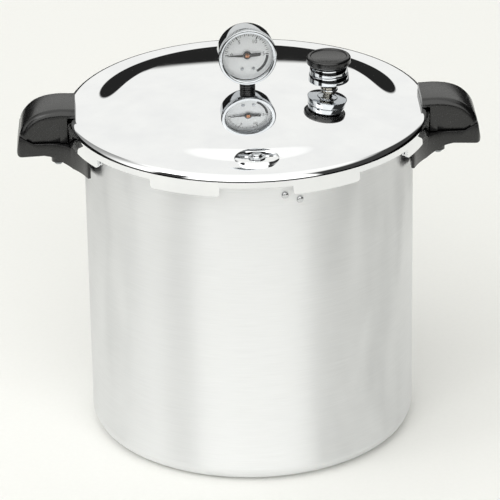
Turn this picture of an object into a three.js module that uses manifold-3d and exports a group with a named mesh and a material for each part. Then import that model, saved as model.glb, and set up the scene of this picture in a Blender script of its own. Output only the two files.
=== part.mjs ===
// A stovetop pressure canner: a deep aluminium pot, a bayonet lid with a dial gauge, a weighted
// regulator on a vent pipe, a cover lock, an overpressure plug, and four moulded handles.
// Millimetres, +Z up. The origin is the middle of the pot's underside, X runs through the
// handles, and -Y is the front, where the cover lock is.

import * as THREE from 'three';
import { mergeVertices } from 'three/addons/utils/BufferGeometryUtils.js';
import Module from 'manifold-3d';

const wasm = await Module();
wasm.setup();

// ---------------------------------------------------------------- driving dimensions

const gap = 0.3;                 // between pieces that touch
const runningGap = 0.6;          // between pieces that slide past one another
const roundSides = 48;           // facets of the pot and the lid, a multiple of 16 for the lugs
const smallSides = 20;

// pot
const potRadius = 155.5;
const potHeight = 308;
const potWall = 2.5;
const floorThickness = 4;
const cornerRadius = 15;
const flangeThickness = 4;
const flangeWidth = 6;           // how far the rim's flange stands out all round
const lugWidth = 11.8;           // how far the flange stands out at a lug
const lugCount = 8;
const potLugHalfAngle = 9.5;

// lid
const lidThickness = 3.3;
const skirtClearance = 1.7;      // between the pot's lugs and the lid's skirt
const skirtWall = 2.6;
const skirtDrop = 12.1;          // from the lid's flat ring to the skirt's lower edge
const lidLugDrop = 20.6;         // from the lid's flat ring to the lugs' lower edge
const lidLugHalfAngle = 12;
const lipHalfAngle = 10.5;
const lipThickness = 2.4;
const lipOverlap = 3.7;          // how far a lid lug reaches under a pot lug
const sealHeight = 10.3;         // from the pot's rim to the underside of the lid's flat ring
const shoulderRadius = 6.8;
const domeRise = 16;
const crownShare = 0.45;         // how much of the rise the shallow crown takes
const crownMargin = 37.5;        // from the pot's outer radius in to the crown's edge
const ringMargin = 3.5;          // from the pot's outer radius in to the flat ring's inner edge

// handles
const gripWidth = 50;
const gripReach = 46.7;          // how far a handle stands out past the lid's skirt
const gripEdge = 6.2;            // rounding of the grip's long edges
const gripOverhang = 9;          // how far a cover handle lies over the lid
const handleTop = 8.2;           // above the lid's flat ring
const ledgeDepth = 2.6;          // how far the cover handle's sides are set back
const bodyHandleDrop = 24;       // from the lid's lugs down to the body handle's foot
const footHalfAngle = 22;
const strapThickness = 1.5;
const strapWidth = 20;
const handleScrewRadius = 2.1;

// gauge
const gaugeRadius = 26.9;
const gaugeHeight = 33.6;        // from the lid's crown to the middle of the dial
const gaugeTilt = 1;             // degrees that the dial leans back
const gaugeTurn = 4.3;           // degrees that the dial is turned about the stem
const caseDepth = 19;
const stemRadius = 7.4;
const neckRadius = 4.7;
const dialThickness = 0.6;
const pinionTeeth = 8;
const sectorTeethPerTurn = 60;
const gearModule = 0.5;
const arborRadius = 0.7;

// vent pipe and regulator
const ventX = 76.5;
const ventY = -1;
const pipeRadius = 4.4;
const pipeThreadRadius = 4.1;
const pipeStandout = 19.7;       // from the lid to the pipe's tip
const ventBore = 1.6;
const knobRadius = 20.8;
const knobHeight = 8.6;
const sleeveRadius = 9.5;

// cover lock, plug and rack
const lockX = 2.2;
const lockMargin = 18.5;         // from the pot's outer radius in to the middle of the lock
const lockBossRadius = 20.5;
const lockBossShare = 0.6;       // the lock's flat boss is an oval, this much as deep as it is wide
const lockBossRise = 3.2;        // how far the boss stands above the flat ring
const lockTravel = 6;
const lockShankRadius = 2;
const lockFlangeRadius = 7.5;
const plugY = 95;
const plugNeckRadius = 5.6;
const rackRadius = 143;
const rackHeight = 9;
const rackSheet = 1.2;

// ---------------------------------------------------------------- derived places

const deg = Math.PI / 180;
const potBore = potRadius - potWall;
const lockY = lockMargin - potRadius;
const flangeRadius = potRadius + flangeWidth;
const potLugRadius = potRadius + lugWidth;
const flangeUnderside = potHeight - flangeThickness;
const skirtInner = potLugRadius + skirtClearance;
const skirtOuter = skirtInner + skirtWall;
const ringUnderside = potHeight + sealHeight;
const ringTop = ringUnderside + lidThickness;
const skirtBottom = ringTop - skirtDrop;
const lugBottom = ringTop - lidLugDrop;
const ringInner = potRadius - ringMargin;
const crownRadius = potRadius - crownMargin;
const crownTop = ringTop + domeRise;
const seamHeight = lugBottom - 4;                  // where cover handle and body handle meet
const gripEnd = skirtOuter + gripReach;
const lugPitch = 360 / lugCount;

// Height of the lid's outer face at a distance from its middle: a shallow crown, then an
// S-curve that eases down onto the flat ring.
function lidHeight(r) {
  const sphere = crownRadius ** 2 / (2 * crownShare * domeRise);
  if (r <= crownRadius) return crownTop - r ** 2 / (2 * sphere);
  if (r >= ringInner) return ringTop;
  const width = ringInner - crownRadius;
  const t = (r - crownRadius) / width;
  const start = crownTop - crownRadius ** 2 / (2 * sphere);
  const slope = -crownRadius / sphere * width;
  return start * (1 + 2 * t) * (1 - t) ** 2 + slope * t * (1 - t) ** 2 + ringTop * t ** 2 * (3 - 2 * t);
}

// ---------------------------------------------------------------- shape helpers

// Joins shared corners, drops the empty triangles on an axis and turns the faces outwards.
function weld(geometry) {
  const bare = geometry.clone();
  bare.deleteAttribute('normal');
  bare.deleteAttribute('uv');
  const merged = mergeVertices(bare, 1e-4);
  const at = merged.getAttribute('position');
  const corners = [0, 1, 2].map(() => new THREE.Vector3());
  const kept = [];
  let volume = 0;
  for (let i = 0; i < merged.index.count; i += 3) {
    const tri = [0, 1, 2].map((k) => merged.index.getX(i + k));
    if (new Set(tri).size < 3) continue;
    kept.push(tri);
    tri.forEach((v, k) => corners[k].fromBufferAttribute(at, v));
    volume += corners[0].dot(corners[1].clone().cross(corners[2]));
  }
  merged.setIndex(kept.flatMap((tri) => (volume < 0 ? [tri[0], tri[2], tri[1]] : tri)));
  return merged;
}

function toSolid(geometry) {
  const welded = weld(geometry);
  const vertProperties = new Float32Array(welded.getAttribute('position').array);
  return new wasm.Manifold(new wasm.Mesh({
    numProp: 3, vertProperties, triVerts: new Uint32Array(welded.index.array),
  }));
}

function toGeometry(manifold) {
  const mesh = manifold.getMesh();
  const geometry = new THREE.BufferGeometry();
  geometry.setAttribute('position', new THREE.BufferAttribute(new Float32Array(mesh.vertProperties), 3));
  geometry.setIndex(Array.from(mesh.triVerts));
  return geometry;
}

const join = (...shapes) => toGeometry(shapes.map(toSolid).reduce((sum, next) => sum.add(next)));
const common = (...shapes) => toGeometry(shapes.map(toSolid).reduce((sum, next) => sum.intersect(next)));
const cut = (shape, ...tools) => toGeometry(
  tools.map(toSolid).reduce((left, tool) => left.subtract(tool), toSolid(shape)));

// A turned shape about +Z from [radius, height] points that start and end on the axis, or that
// close on themselves when loop is set.
function turned(points, sides = smallSides, loop = false) {
  const outline = (loop ? [...points, points[0]] : points).map(([r, z]) => new THREE.Vector2(r, z));
  return new THREE.LatheGeometry(outline, sides).rotateX(90 * deg);
}

// Points along a round corner of a turned outline, between two angles in degrees.
function corner(r, z, radius, from, to, steps = 3) {
  return Array.from({ length: steps + 1 }, (_, i) => {
    const angle = (from + (to - from) * i / steps) * deg;
    return [r + radius * Math.cos(angle), z + radius * Math.sin(angle)];
  });
}

const rod = (radius, low, high, sides = smallSides) => turned(
  [[0, low], [radius, low], [radius, high], [0, high]], sides);

const tubeShape = (inner, outer, low, high, sides = smallSides) => turned(
  [[inner, low], [outer, low], [outer, high], [inner, high]], sides, true);

function block(x0, x1, y0, y1, z0, z1) {
  return new THREE.BoxGeometry(x1 - x0, y1 - y0, z1 - z0)
    .translate((x0 + x1) / 2, (y0 + y1) / 2, (z0 + z1) / 2);
}

// A flat outline in X and Y, raised from one height to another.
function raised(shape, low, high, steps = 5) {
  return new THREE.ExtrudeGeometry(shape, { depth: high - low, bevelEnabled: false, curveSegments: steps })
    .translate(0, 0, low);
}

// A piece of a ring between two radii, centred on an angle in degrees.
function ringSector(inner, outer, middle, halfAngle, low, high, steps = 4) {
  const shape = new THREE.Shape();
  shape.absarc(0, 0, outer, (middle - halfAngle) * deg, (middle + halfAngle) * deg, false);
  shape.absarc(0, 0, inner, (middle + halfAngle) * deg, (middle - halfAngle) * deg, true);
  shape.closePath();
  return raised(shape, low, high, steps);
}

const lugAngles = Array.from({ length: lugCount }, (_, i) => lugPitch * (i + 0.5));

// A hexagon nut with a round hole, between two heights.
function nut(acrossCorners, hole, low, high) {
  const shape = new THREE.Shape(Array.from({ length: 6 }, (_, i) => new THREE.Vector2(
    acrossCorners * Math.cos(i * 60 * deg), acrossCorners * Math.sin(i * 60 * deg))));
  shape.holes.push(new THREE.Path().absarc(0, 0, hole, 0, 2 * Math.PI, true));
  return raised(shape, low, high, 6);
}

// ---------------------------------------------------------------- materials

const material = (color, roughness, metalness) => new THREE.MeshStandardMaterial(
  { color, roughness, metalness });
const brushedAluminium = () => material(0xb9bcc0, 0.38, 1);
const polishedAluminium = () => material(0xe6e7e8, 0.08, 1);
const pressedAluminium = () => material(0xc4c6c8, 0.3, 1);
const phenolic = () => material(0x232327, 0.35, 0);
const platedSteel = () => material(0x9a9da1, 0.3, 1);
const chrome = () => material(0xd8dadd, 0.06, 1);
const blackRubber = () => material(0x1c1c1d, 0.75, 0);
const brass = () => material(0xb58a4a, 0.3, 1);
const bronze = () => material(0xa8774d, 0.35, 1);
const dialEnamel = () => material(0xc9cccd, 0.4, 0.4);
const pointerPaint = () => material(0x0c0c0d, 0.5, 0);
function lensGlass() {
  const glass = material(0xf4f7f8, 0.03, 0);
  glass.transparent = true;
  glass.opacity = 0.25;
  return glass;
}

// ---------------------------------------------------------------- assembly

const canner = new THREE.Group();

function addPiece(name, geometry, finish, parent = canner) {
  const mesh = new THREE.Mesh(weld(geometry), finish);
  mesh.name = name;
  parent.add(mesh);
  return mesh;
}

// A group that stands at a place, for a sub-assembly with its own axes.
function stand(x, y, z, parent = canner) {
  const group = new THREE.Group();
  group.position.set(x, y, z);
  parent.add(group);
  return group;
}

// The left side's pieces are the right side's, turned half round.
function addPair(name, makeGeometry, finish) {
  for (const [side, turn] of [['right', 0], ['left', Math.PI]]) {
    addPiece(`${name}_${side}`, makeGeometry().rotateZ(turn), finish());
  }
}

// ---------------------------------------------------------------- locking bracket places

const bracketMiddle = -77.5;
const bracketThickness = 1.4;
const bracketPlateOuter = potBore - 0.7;
const shelfInner = -lockY + 3;
const shelfThickness = 3.2;
const shelfTop = flangeUnderside - 3;
const shelfBottom = shelfTop - shelfThickness;
const rivets = [
  { side: 'left', angle: -80.2, z: potHeight - 13.9 },
  { side: 'right', angle: -75, z: potHeight - 19.7 },
];
const rivetRadius = 1.6;

// Lays a turned piece made along +Z out along a radius of the pot.
const alongRadius = (geometry, angle, z) => geometry
  .rotateY(90 * deg).rotateZ(angle * deg).translate(0, 0, z);

const rivetHoles = () => rivets.map(({ angle, z }) => alongRadius(
  rod(rivetRadius + gap, potBore - 8, potRadius + 8, 10), angle, z));

// ---------------------------------------------------------------- pot

function makePot() {
  const inside = cornerRadius - potWall;
  const shell = turned([
    [0, 0],
    ...corner(potRadius - cornerRadius, cornerRadius, cornerRadius, -90, 0, 4),
    [potRadius, flangeUnderside],
    [flangeRadius, flangeUnderside],
    [flangeRadius, potHeight],
    [potBore, potHeight],
    ...corner(potBore - inside, floorThickness + inside, inside, 0, -90, 3),
    [0, floorThickness],
  ], roundSides);
  const lugs = lugAngles.map((angle) => ringSector(
    flangeRadius - 1, potLugRadius, angle, potLugHalfAngle, flangeUnderside, potHeight));
  return cut(join(shell, ...lugs), ...rivetHoles());
}

function makeLockingBracket() {
  const plate = ringSector(bracketPlateOuter - bracketThickness, bracketPlateOuter, bracketMiddle, 6.5,
    shelfTop - 17, shelfTop);
  const shelf = ringSector(shelfInner, bracketPlateOuter - 0.5, bracketMiddle, 5, shelfBottom, shelfTop);
  return cut(join(plate, shelf), ...rivetHoles());
}

function makeRivet() {
  const plateInner = bracketPlateOuter - bracketThickness;
  return turned([
    [0, plateInner - gap - 1.4], [2.6, plateInner - gap - 1], [3, plateInner - gap],
    [rivetRadius, plateInner - gap], [rivetRadius, potRadius + gap], [3.3, potRadius + gap],
    [2.7, potRadius + 1.4], [0, potRadius + 1.9],
  ], 12);
}

function makeRack() {
  const top = floorThickness + 0.4 + rackHeight;
  const disc = turned([
    [0, top - rackSheet], [rackRadius - 4, top - rackSheet], [rackRadius - 4, floorThickness + 0.4],
    [rackRadius - 2.7, floorThickness + 0.4], [rackRadius - 2.7, top - rackSheet],
    [rackRadius, top - rackSheet], [rackRadius, top], [0, top],
  ], roundSides);
  const holeRings = [
    { count: 1, at: 0, radius: 12 },
    { count: 6, at: 0.42 * rackRadius, radius: 9 },
    { count: 12, at: 0.76 * rackRadius, radius: 9 },
  ];
  const holes = holeRings.flatMap(({ count, at, radius }) => Array.from({ length: count }, (_, i) => {
    const angle = (i + 0.5) * 360 / count * deg;
    return rod(radius, top - 3, top + 2, 8).translate(at * Math.cos(angle), at * Math.sin(angle), 0);
  }));
  return cut(disc, ...holes);
}

// ---------------------------------------------------------------- handles

// The space between the two halves of a handle: the seam keeps one height all the way round
// the pot, so the cover handle swings over the body handle, and it rises at the outer end.
const seamStart = skirtOuter - runningGap;
const seamGap = 1;
const seamLine = [
  [seamStart, seamHeight], [gripEnd - 14, seamHeight], [gripEnd - 4, seamHeight + 6],
  [gripEnd + 12, seamHeight + 9],
];

function spaceAboveSeam() {
  return turned([
    [potRadius - 8, lugBottom - runningGap], [seamStart, lugBottom - runningGap], ...seamLine,
    [gripEnd + 12, ringTop + 40], [potRadius - 8, ringTop + 40],
  ], 96, true);
}

function spaceBelowSeam() {
  return turned([
    ...seamLine.map(([r, z]) => [r, z + seamGap]), [gripEnd + 12, seamHeight - 40],
    [skirtOuter - 20, seamHeight - 40], [skirtOuter - 20, seamHeight + seamGap],
  ], 96, true);
}

const bodyScrewX = skirtOuter + 8.4;
const bodyStrapTop = seamHeight - 7.5;
const footBottom = lugBottom - bodyHandleDrop - 1;
const bossBottom = footBottom - 6.4;

function bodyHandlePlan() {
  const half = gripWidth / 2;
  const polar = (r, angle) => [r * Math.cos(angle * deg), r * Math.sin(angle * deg)];
  const shape = new THREE.Shape();
  shape.moveTo(...polar(potRadius - 3, -footHalfAngle));
  shape.lineTo(...polar(potRadius + 8.5, -footHalfAngle));
  shape.bezierCurveTo(...polar(potRadius + 10, -14), skirtOuter + 2, -half - 2, skirtOuter + 16, -half);
  shape.lineTo(gripEnd - 5, -half);
  shape.quadraticCurveTo(gripEnd, -half, gripEnd, -half + 6);
  shape.lineTo(gripEnd, half - 6);
  shape.quadraticCurveTo(gripEnd, half, gripEnd - 5, half);
  shape.lineTo(skirtOuter + 16, half);
  shape.bezierCurveTo(skirtOuter + 2, half + 2, ...polar(potRadius + 10, 14),
    ...polar(potRadius + 8.5, footHalfAngle));
  shape.lineTo(...polar(potRadius - 3, footHalfAngle));
  shape.closePath();
  return raised(shape, footBottom - 5, ringTop, 5);
}

// An outline in X and Z, drawn across the handle from side to side.
function acrossHandle(points, width, bevel = 0) {
  const shape = new THREE.Shape(points.map(([x, z]) => new THREE.Vector2(x, z)));
  return new THREE.ExtrudeGeometry(shape, {
    depth: width - 2 * bevel, bevelEnabled: bevel > 0, bevelThickness: bevel, bevelSize: bevel,
    bevelOffset: -bevel, bevelSegments: 2,
  }).rotateX(90 * deg).translate(0, width / 2 - bevel, 0);
}

const strapSlot = (x0, x1, low) => block(x0, x1, -strapWidth / 2 - gap, strapWidth / 2 + gap,
  low - gap, low + strapThickness + gap);

const nutRadius = 4.6;
const nutHeight = 3.2;
const screwHeadRadius = 4.2;
const strapReach = 9;            // how far a strap runs on past its screw

const strapHole = (x, strapTop) => rod(
  handleScrewRadius + gap, strapTop - 4, strapTop + 2, 12).translate(x, 0, 0);

const nutPocket = (x, strapTop) => rod(
  nutRadius + 0.5, strapTop - strapThickness, strapTop + nutHeight + 2 * gap, 12).translate(x, 0, 0);

function makeBodyHandle() {
  const profile = acrossHandle([
    [potRadius - 6, ringTop], [gripEnd - 6, ringTop], [gripEnd, seamHeight - 11],
    [gripEnd - 2, seamHeight - 13], [skirtOuter + 20, seamHeight - 12], [skirtOuter + 6, seamHeight - 16.5],
    [potRadius + 10, footBottom + 0.3], [potRadius - 6, footBottom],
  ], 4 * gripWidth);
  const boss = rod(6.5, bossBottom, seamHeight - 12, 16).translate(bodyScrewX, 0, 0);
  const slot = join(
    strapSlot(potRadius, bodyScrewX + strapReach + gap, bodyStrapTop - strapThickness),
    ringSector(potRadius - 2, potRadius + 2.2, 0, 6.9, footBottom - 2, lugBottom),
    nutPocket(bodyScrewX, bodyStrapTop),
    rod(handleScrewRadius + gap, bossBottom - 2, bodyStrapTop, 12).translate(bodyScrewX, 0, 0),
  );
  const wall = rod(potRadius + 0.7, footBottom - 8, ringTop, 96);
  return cut(join(common(bodyHandlePlan(), profile), boss), spaceAboveSeam(), wall, slot);
}

function makeBodyStrap() {
  const plate = ringSector(potRadius + gap, potRadius + 1.8, 0, 6.5, footBottom + 1, lugBottom - 3, 5);
  const tongue = block(potRadius + 1, bodyScrewX + strapReach, -strapWidth / 2, strapWidth / 2,
    bodyStrapTop - strapThickness, bodyStrapTop);
  return cut(join(plate, tongue), strapHole(bodyScrewX, bodyStrapTop));
}

// A pan-head screw whose head is below its shank.
function screw(headBottom, shankTop, x) {
  return turned([
    [0, headBottom], [3, headBottom + 0.4], [screwHeadRadius, headBottom + 1.6],
    [screwHeadRadius, headBottom + 3], [handleScrewRadius, headBottom + 3],
    [handleScrewRadius, shankTop], [0, shankTop],
  ], 12).translate(x, 0, 0);
}

const coverScrewX = skirtOuter + 17;
const coverStrapTop = seamHeight + 13.5;
const topInset = skirtOuter - gripOverhang;

function makeCoverHandle() {
  const top = ringTop + handleTop;
  const crest = [
    [skirtOuter + 6, top], [gripEnd - 26, top - 1.6], [gripEnd - 17, top - 5], [gripEnd - 10.2, top - 11],
    [gripEnd - 5.6, top - 19], [gripEnd - 4, top - 27], [gripEnd - 4, seamHeight - 8],
  ];
  const side = acrossHandle([
    [topInset, ringTop + 0.5], [topInset, top - 0.6], ...crest,
    [skirtOuter - 4, seamHeight - 8], [skirtOuter - 4, ringTop - 8],
  ], gripWidth);
  const rounded = acrossHandle([[topInset - 30, seamHeight - 40], [topInset - 30, top - 0.6], ...crest,
    [gripEnd - 4, seamHeight - 40]], gripWidth, gripEdge);
  const grip = common(side, rounded);
  const lidSpace = rod(skirtOuter + gap + 0.1, seamHeight - 20, ringTop + 0.5, roundSides);
  const setBack = [
    [skirtOuter + 5.5, seamHeight - 9], [skirtOuter + 5.5, top - 11], [gripEnd - 22, top - 12.5],
    [gripEnd - 13, top - 18], [gripEnd - 9.5, top - 26], [gripEnd - 9.5, seamHeight - 9],
  ];
  const panel = gripWidth / 2 - ledgeDepth;
  const sides = [-1, 1].map((side) => acrossHandle(setBack, 6).translate(0, side * (panel + 3), 0));
  const slot = join(
    strapSlot(skirtOuter - 2, coverScrewX + strapReach + gap, coverStrapTop - strapThickness),
    ringSector(skirtOuter - 2, skirtOuter + 2.4, 0, 7.1, seamHeight, ringTop - shoulderRadius + gap),
    nutPocket(coverScrewX, coverStrapTop),
    rod(handleScrewRadius + gap, seamHeight, coverStrapTop, 12).translate(coverScrewX, 0, 0),
    rod(screwHeadRadius + gap, seamHeight, seamHeight + 5, 12).translate(coverScrewX, 0, 0),
  );
  return cut(grip, lidSpace, spaceBelowSeam(), ...sides, slot);
}

function makeCoverStrap() {
  const plate = ringSector(
    skirtOuter + gap, skirtOuter + 1.9, 0, 6.6, seamHeight + 6, ringTop - shoulderRadius, 5);
  const tongue = block(skirtOuter + 1.2, coverScrewX + strapReach, -strapWidth / 2, strapWidth / 2,
    coverStrapTop - strapThickness, coverStrapTop);
  return cut(join(plate, tongue), strapHole(coverScrewX, coverStrapTop));
}

// ---------------------------------------------------------------- lid

const plugSlope = plugY * 2 * crownShare * domeRise / crownRadius ** 2;
const ventDistance = Math.hypot(ventX, ventY);
const pipeFootRadius = 7.5;
const ventSeat = lidHeight(ventDistance - pipeFootRadius) + 0.1;
const lockSeat = ringTop + lockBossRise;
const lockUnderside = ringUnderside - 0.5;

function plugPlace(geometry) {
  return geometry.rotateX(-Math.atan(plugSlope)).translate(0, plugY, lidHeight(plugY));
}

function makeLidShell() {
  const crown = [0, 0.25, 0.5, 0.75, 1].map((t) => t * crownRadius);
  const ease = [0.25, 0.5, 0.75, 1].map((t) => crownRadius + t * (ringInner - crownRadius));
  const outer = [...crown, ...ease].map((r) => [r, lidHeight(r)]);
  const inner = outer.filter((_, i) => i < 5 || i % 2 === 0).map(([r, z]) => [r, z - lidThickness]);
  const shell = turned([
    ...outer,
    ...corner(skirtOuter - shoulderRadius, ringTop - shoulderRadius, shoulderRadius, 90, 0, 3),
    [skirtOuter, skirtBottom],
    [skirtInner, skirtBottom],
    [skirtInner, ringUnderside],
    ...inner.reverse(),
  ], roundSides);
  const lugs = lugAngles.flatMap((angle) => [
    ringSector(skirtInner, skirtOuter, angle, lidLugHalfAngle, lugBottom, skirtBottom + 1, 4),
    ringSector(potLugRadius - lipOverlap, skirtInner + 0.2, angle, lipHalfAngle, lugBottom,
      lugBottom + lipThickness, 4),
  ]);
  const oval = (low, high) => rod(lockBossRadius, low, high, 32)
    .scale(1, lockBossShare, 1).translate(lockX, lockY, 0);
  const lockFoot = rod(9, lockUnderside, lockSeat - 1, 16).translate(lockX, lockY, 0);
  const ventBoss = rod(pipeFootRadius + 0.5, ventSeat - 2, ventSeat, 16).translate(ventX, ventY, 0);
  const holes = [
    oval(lockSeat, lockSeat + 10),
    rod(lockShankRadius + 0.5, lockUnderside - 2, lockSeat + 2, 12).translate(lockX, lockY, 0),
    rod(pipeThreadRadius + gap, ringUnderside, crownTop + 3, 14).translate(ventX, ventY, 0),
    rod(neckRadius + gap, ringUnderside, crownTop + 3, 16),
    plugPlace(rod(plugNeckRadius + gap, -8, 4, 16)),
  ];
  const lockBoss = oval(ringTop - 1, lockSeat);
  return cut(join(shell, ...lugs, lockBoss, lockFoot, ventBoss), ...holes);
}

function makeSealingRing() {
  const low = potHeight + 0.4;
  const high = ringUnderside - 0.4;
  const outer = skirtInner - 0.9;
  const inner = potRadius - 1;
  return turned([
    [inner, low], [outer - 5, low], [outer, low + 2.6], [outer, high], [inner, high],
    [inner, high - 3.3], [inner + 5.5, high - 4.2], [inner + 5.5, high - 5.3], [inner, high - 6.2],
  ], roundSides, true);
}

function makeVentPipe() {
  const tip = ventSeat + pipeStandout;
  const foot = ventSeat + gap;
  return turned([
    [ventBore, ringUnderside - 2], [pipeThreadRadius, ringUnderside - 2], [pipeThreadRadius, foot],
    [pipeFootRadius, foot], [pipeFootRadius, foot + 2.2], [pipeRadius, foot + 3], [pipeRadius, tip - 2.6],
    [2.6, tip], [ventBore, tip],
  ], 16, true).translate(ventX, ventY, 0);
}

function makeVentNut() {
  const top = lidHeight(ventDistance + 8) - lidThickness - gap;
  return nut(8, pipeThreadRadius + gap, top - 4.5, top).translate(ventX, ventY, 0);
}

function makePlug() {
  const below = -lidThickness - gap - 0.1;
  return plugPlace(turned([
    [0, below - 2.4], [6.6, below - 2.4], [7.4, below], [plugNeckRadius, below],
    [plugNeckRadius, gap + 0.1], [8, gap + 0.1], [7.6, 2.4], [4.5, 2.9], [4, 2], [0, 2],
  ], 16));
}

// ---------------------------------------------------------------- cover lock

const lockFlangeTop = shelfTop - 1 - lockTravel;     // raised, the flange stands level with the shelf
const lockFlangeThickness = 3;
const capHeight = 4.2;

function makeLockPin() {
  return turned([
    [0, lockFlangeTop - lockFlangeThickness], [lockFlangeRadius, lockFlangeTop - lockFlangeThickness],
    [lockFlangeRadius, lockFlangeTop - 0.8], [lockShankRadius, lockFlangeTop],
    [lockShankRadius, lockSeat + 2.6], [0, lockSeat + 2.6],
  ], 16).translate(lockX, lockY, 0);
}

function makeLockCap() {
  const base = lockSeat + gap;
  return turned([
    [0, base + 2.7], [lockShankRadius + gap, base + 2.7], [lockShankRadius + gap, base],
    [8, base], [8, base + 1.2], ...corner(4.6, base + capHeight - 3, 3, 0, 90, 3),
    [0, base + capHeight + 0.2],
  ], 20).translate(lockX, lockY, 0);
}

function makeLockGasket() {
  return tubeShape(lockShankRadius + 0.5, 7, lockUnderside - gap - 2.2, lockUnderside - gap, 14)
    .translate(lockX, lockY, 0);
}

// ---------------------------------------------------------------- regulator

const pipeTip = ventSeat + pipeStandout;
const knobSeat = pipeTip + 4.6;
const weightBottom = knobSeat - 16;
const ringSplit = knobSeat - 8.3;

function makeRegulatorBody() {
  return turned([
    [0, pipeTip + gap], [2.9, pipeTip + gap], [pipeRadius + 0.5, pipeTip - 2.6 + gap],
    [pipeRadius + 0.5, weightBottom - 0.9], [sleeveRadius, weightBottom - 0.9],
    [sleeveRadius, knobSeat - 0.9],
    [14, knobSeat - 0.9], [14, knobSeat - gap], [6, knobSeat - gap], [6, knobSeat + 3.4], [0, knobSeat + 3.4],
  ], 20);
}

// The two ring weights flare outwards towards the bottom as one cone.
const weightFlare = (z) => 17.2 + (knobSeat - z) * 0.13;

function makeRingWeight(low, high) {
  return turned([
    [sleeveRadius + gap, low], [weightFlare(low) - 0.6, low], [weightFlare(low), low + 0.6],
    [weightFlare(high), high - 0.4], [weightFlare(high) - 0.4, high], [sleeveRadius + gap, high],
  ], 24, true);
}

function makeKnob() {
  const top = knobSeat + knobHeight;
  return turned([
    [0, knobSeat + 3.7], [6.3, knobSeat + 3.7], [6.3, knobSeat], [17, knobSeat], [19.6, knobSeat + 0.7],
    [knobRadius, knobSeat + 2], [knobRadius, top - 2.6], [knobRadius - 0.7, top - 0.9], [knobRadius - 2, top],
    [knobRadius - 3.4, top - 0.4], [knobRadius - 4, top - 1.3], [0, top - 1.3],
  ], 24);
}

// ---------------------------------------------------------------- gauge

const caseFront = 3.2;
const caseBack = caseFront - caseDepth;
const caseWall = 1.7;
const caseBore = gaugeRadius - caseWall;
const gaugeCentre = crownTop + gaugeHeight;
const bezelRadius = gaugeRadius + 0.7;
const lensBack = caseFront + 2.7;
const lensThickness = 1.4;
const plateThickness = 0.8;
const backPlateAt = -5.8;
const sectorAt = -4;
const frontPlateAt = -2.2;
const pinionPitch = pinionTeeth * gearModule / 2;
const sectorPitch = sectorTeethPerTurn * gearModule / 2;
const sectorPivot = -(pinionPitch + sectorPitch);
const sectorTail = 3.7;
const tubeRing = 0.7 * gaugeRadius;
const tubeAt = -9;

// Takes a shape made in the dial's axes, X right, Y up and Z out of the dial, into the canner's.
function dialGroup() {
  const group = stand(0, 0, gaugeCentre);
  group.rotation.set((90 - gaugeTilt) * deg, 0, gaugeTurn * deg, 'ZYX');
  return group;
}

function inCannerAxes(geometry) {
  return geometry.rotateX((90 - gaugeTilt) * deg).rotateZ(gaugeTurn * deg).translate(0, 0, gaugeCentre);
}

function inDialAxes(geometry) {
  return geometry.translate(0, 0, -gaugeCentre).rotateZ(-gaugeTurn * deg).rotateX(-(90 - gaugeTilt) * deg);
}

const neckTop = gaugeCentre - caseBore - 0.4;

function makeGaugeStem() {
  const seat = crownTop + gap;
  const grooves = [1.7, 4].flatMap((z) => [
    [stemRadius, seat + z - 0.8], [stemRadius - 0.9, seat + z], [stemRadius, seat + z + 0.8],
  ]);
  const stem = turned([
    [1.5, ringUnderside + 0.5], [neckRadius, ringUnderside + 0.5], [neckRadius, seat], [stemRadius, seat],
    ...grooves, [stemRadius, neckTop - 0.4], [neckRadius, neckTop - 0.4],
    [neckRadius, neckTop], [1.5, neckTop],
  ], 16, true);
  const clearOfCase = cut(inCannerAxes(rod(gaugeRadius + gap, caseBack - gap, caseFront, 40)),
    rod(neckRadius + 0.1, crownTop, gaugeCentre, 20));
  const clearOfBezel = inCannerAxes(rod(bezelRadius + gap, caseFront, caseFront + 8, 40));
  return cut(stem, clearOfCase, clearOfBezel);
}

function makeGaugeNut() {
  const top = crownTop - lidThickness - 1.2 - 2 * gap;
  return nut(9.5, neckRadius + gap, top - 5, top);
}

function makeGaugeWasher() {
  const top = crownTop - lidThickness - gap;
  return tubeShape(neckRadius + gap, 10, top - 1.2, top, 20);
}

function makeGaugeCase() {
  const cup = turned([
    [0, caseBack], [gaugeRadius - 2.4, caseBack], [gaugeRadius, caseBack + 2], [gaugeRadius, caseFront],
    [caseBore, caseFront], [caseBore, caseBack + 2.6], [caseBore - 1, caseBack + 1.7], [0, caseBack + 1.7],
  ], 32);
  const neckHole = inDialAxes(rod(neckRadius + gap, crownTop, gaugeCentre - 10, 20));
  return cut(cup, neckHole);
}

function makeBezel() {
  const back = caseFront + gap;
  const pocket = bezelRadius - 2.2;
  const lensFront = lensBack + lensThickness + gap;
  return turned([
    [pocket, back], [bezelRadius, back], [bezelRadius, back + 4.8], [bezelRadius - 1.3, back + 6],
    [bezelRadius - 3.4, back + 5.8], [bezelRadius - 4.2, lensFront], [pocket, lensFront],
  ], 32, true);
}

// A gear outline: straight-sided teeth on a pitch circle, between two angles in degrees.
function toothPoints(pitch, teeth, first, count) {
  const step = 360 / teeth;
  const tip = pitch + 0.8 * gearModule;
  const root = pitch - 1.15 * gearModule;
  const halfTip = 0.11 * step;
  const halfRoot = 0.24 * step;
  return Array.from({ length: count }, (_, i) => first + i * step).flatMap((middle) => [
    [root, middle - halfRoot], [tip, middle - halfTip], [tip, middle + halfTip], [root, middle + halfRoot],
  ]).map(([r, angle]) => new THREE.Vector2(r * Math.cos(angle * deg), r * Math.sin(angle * deg)));
}

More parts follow.
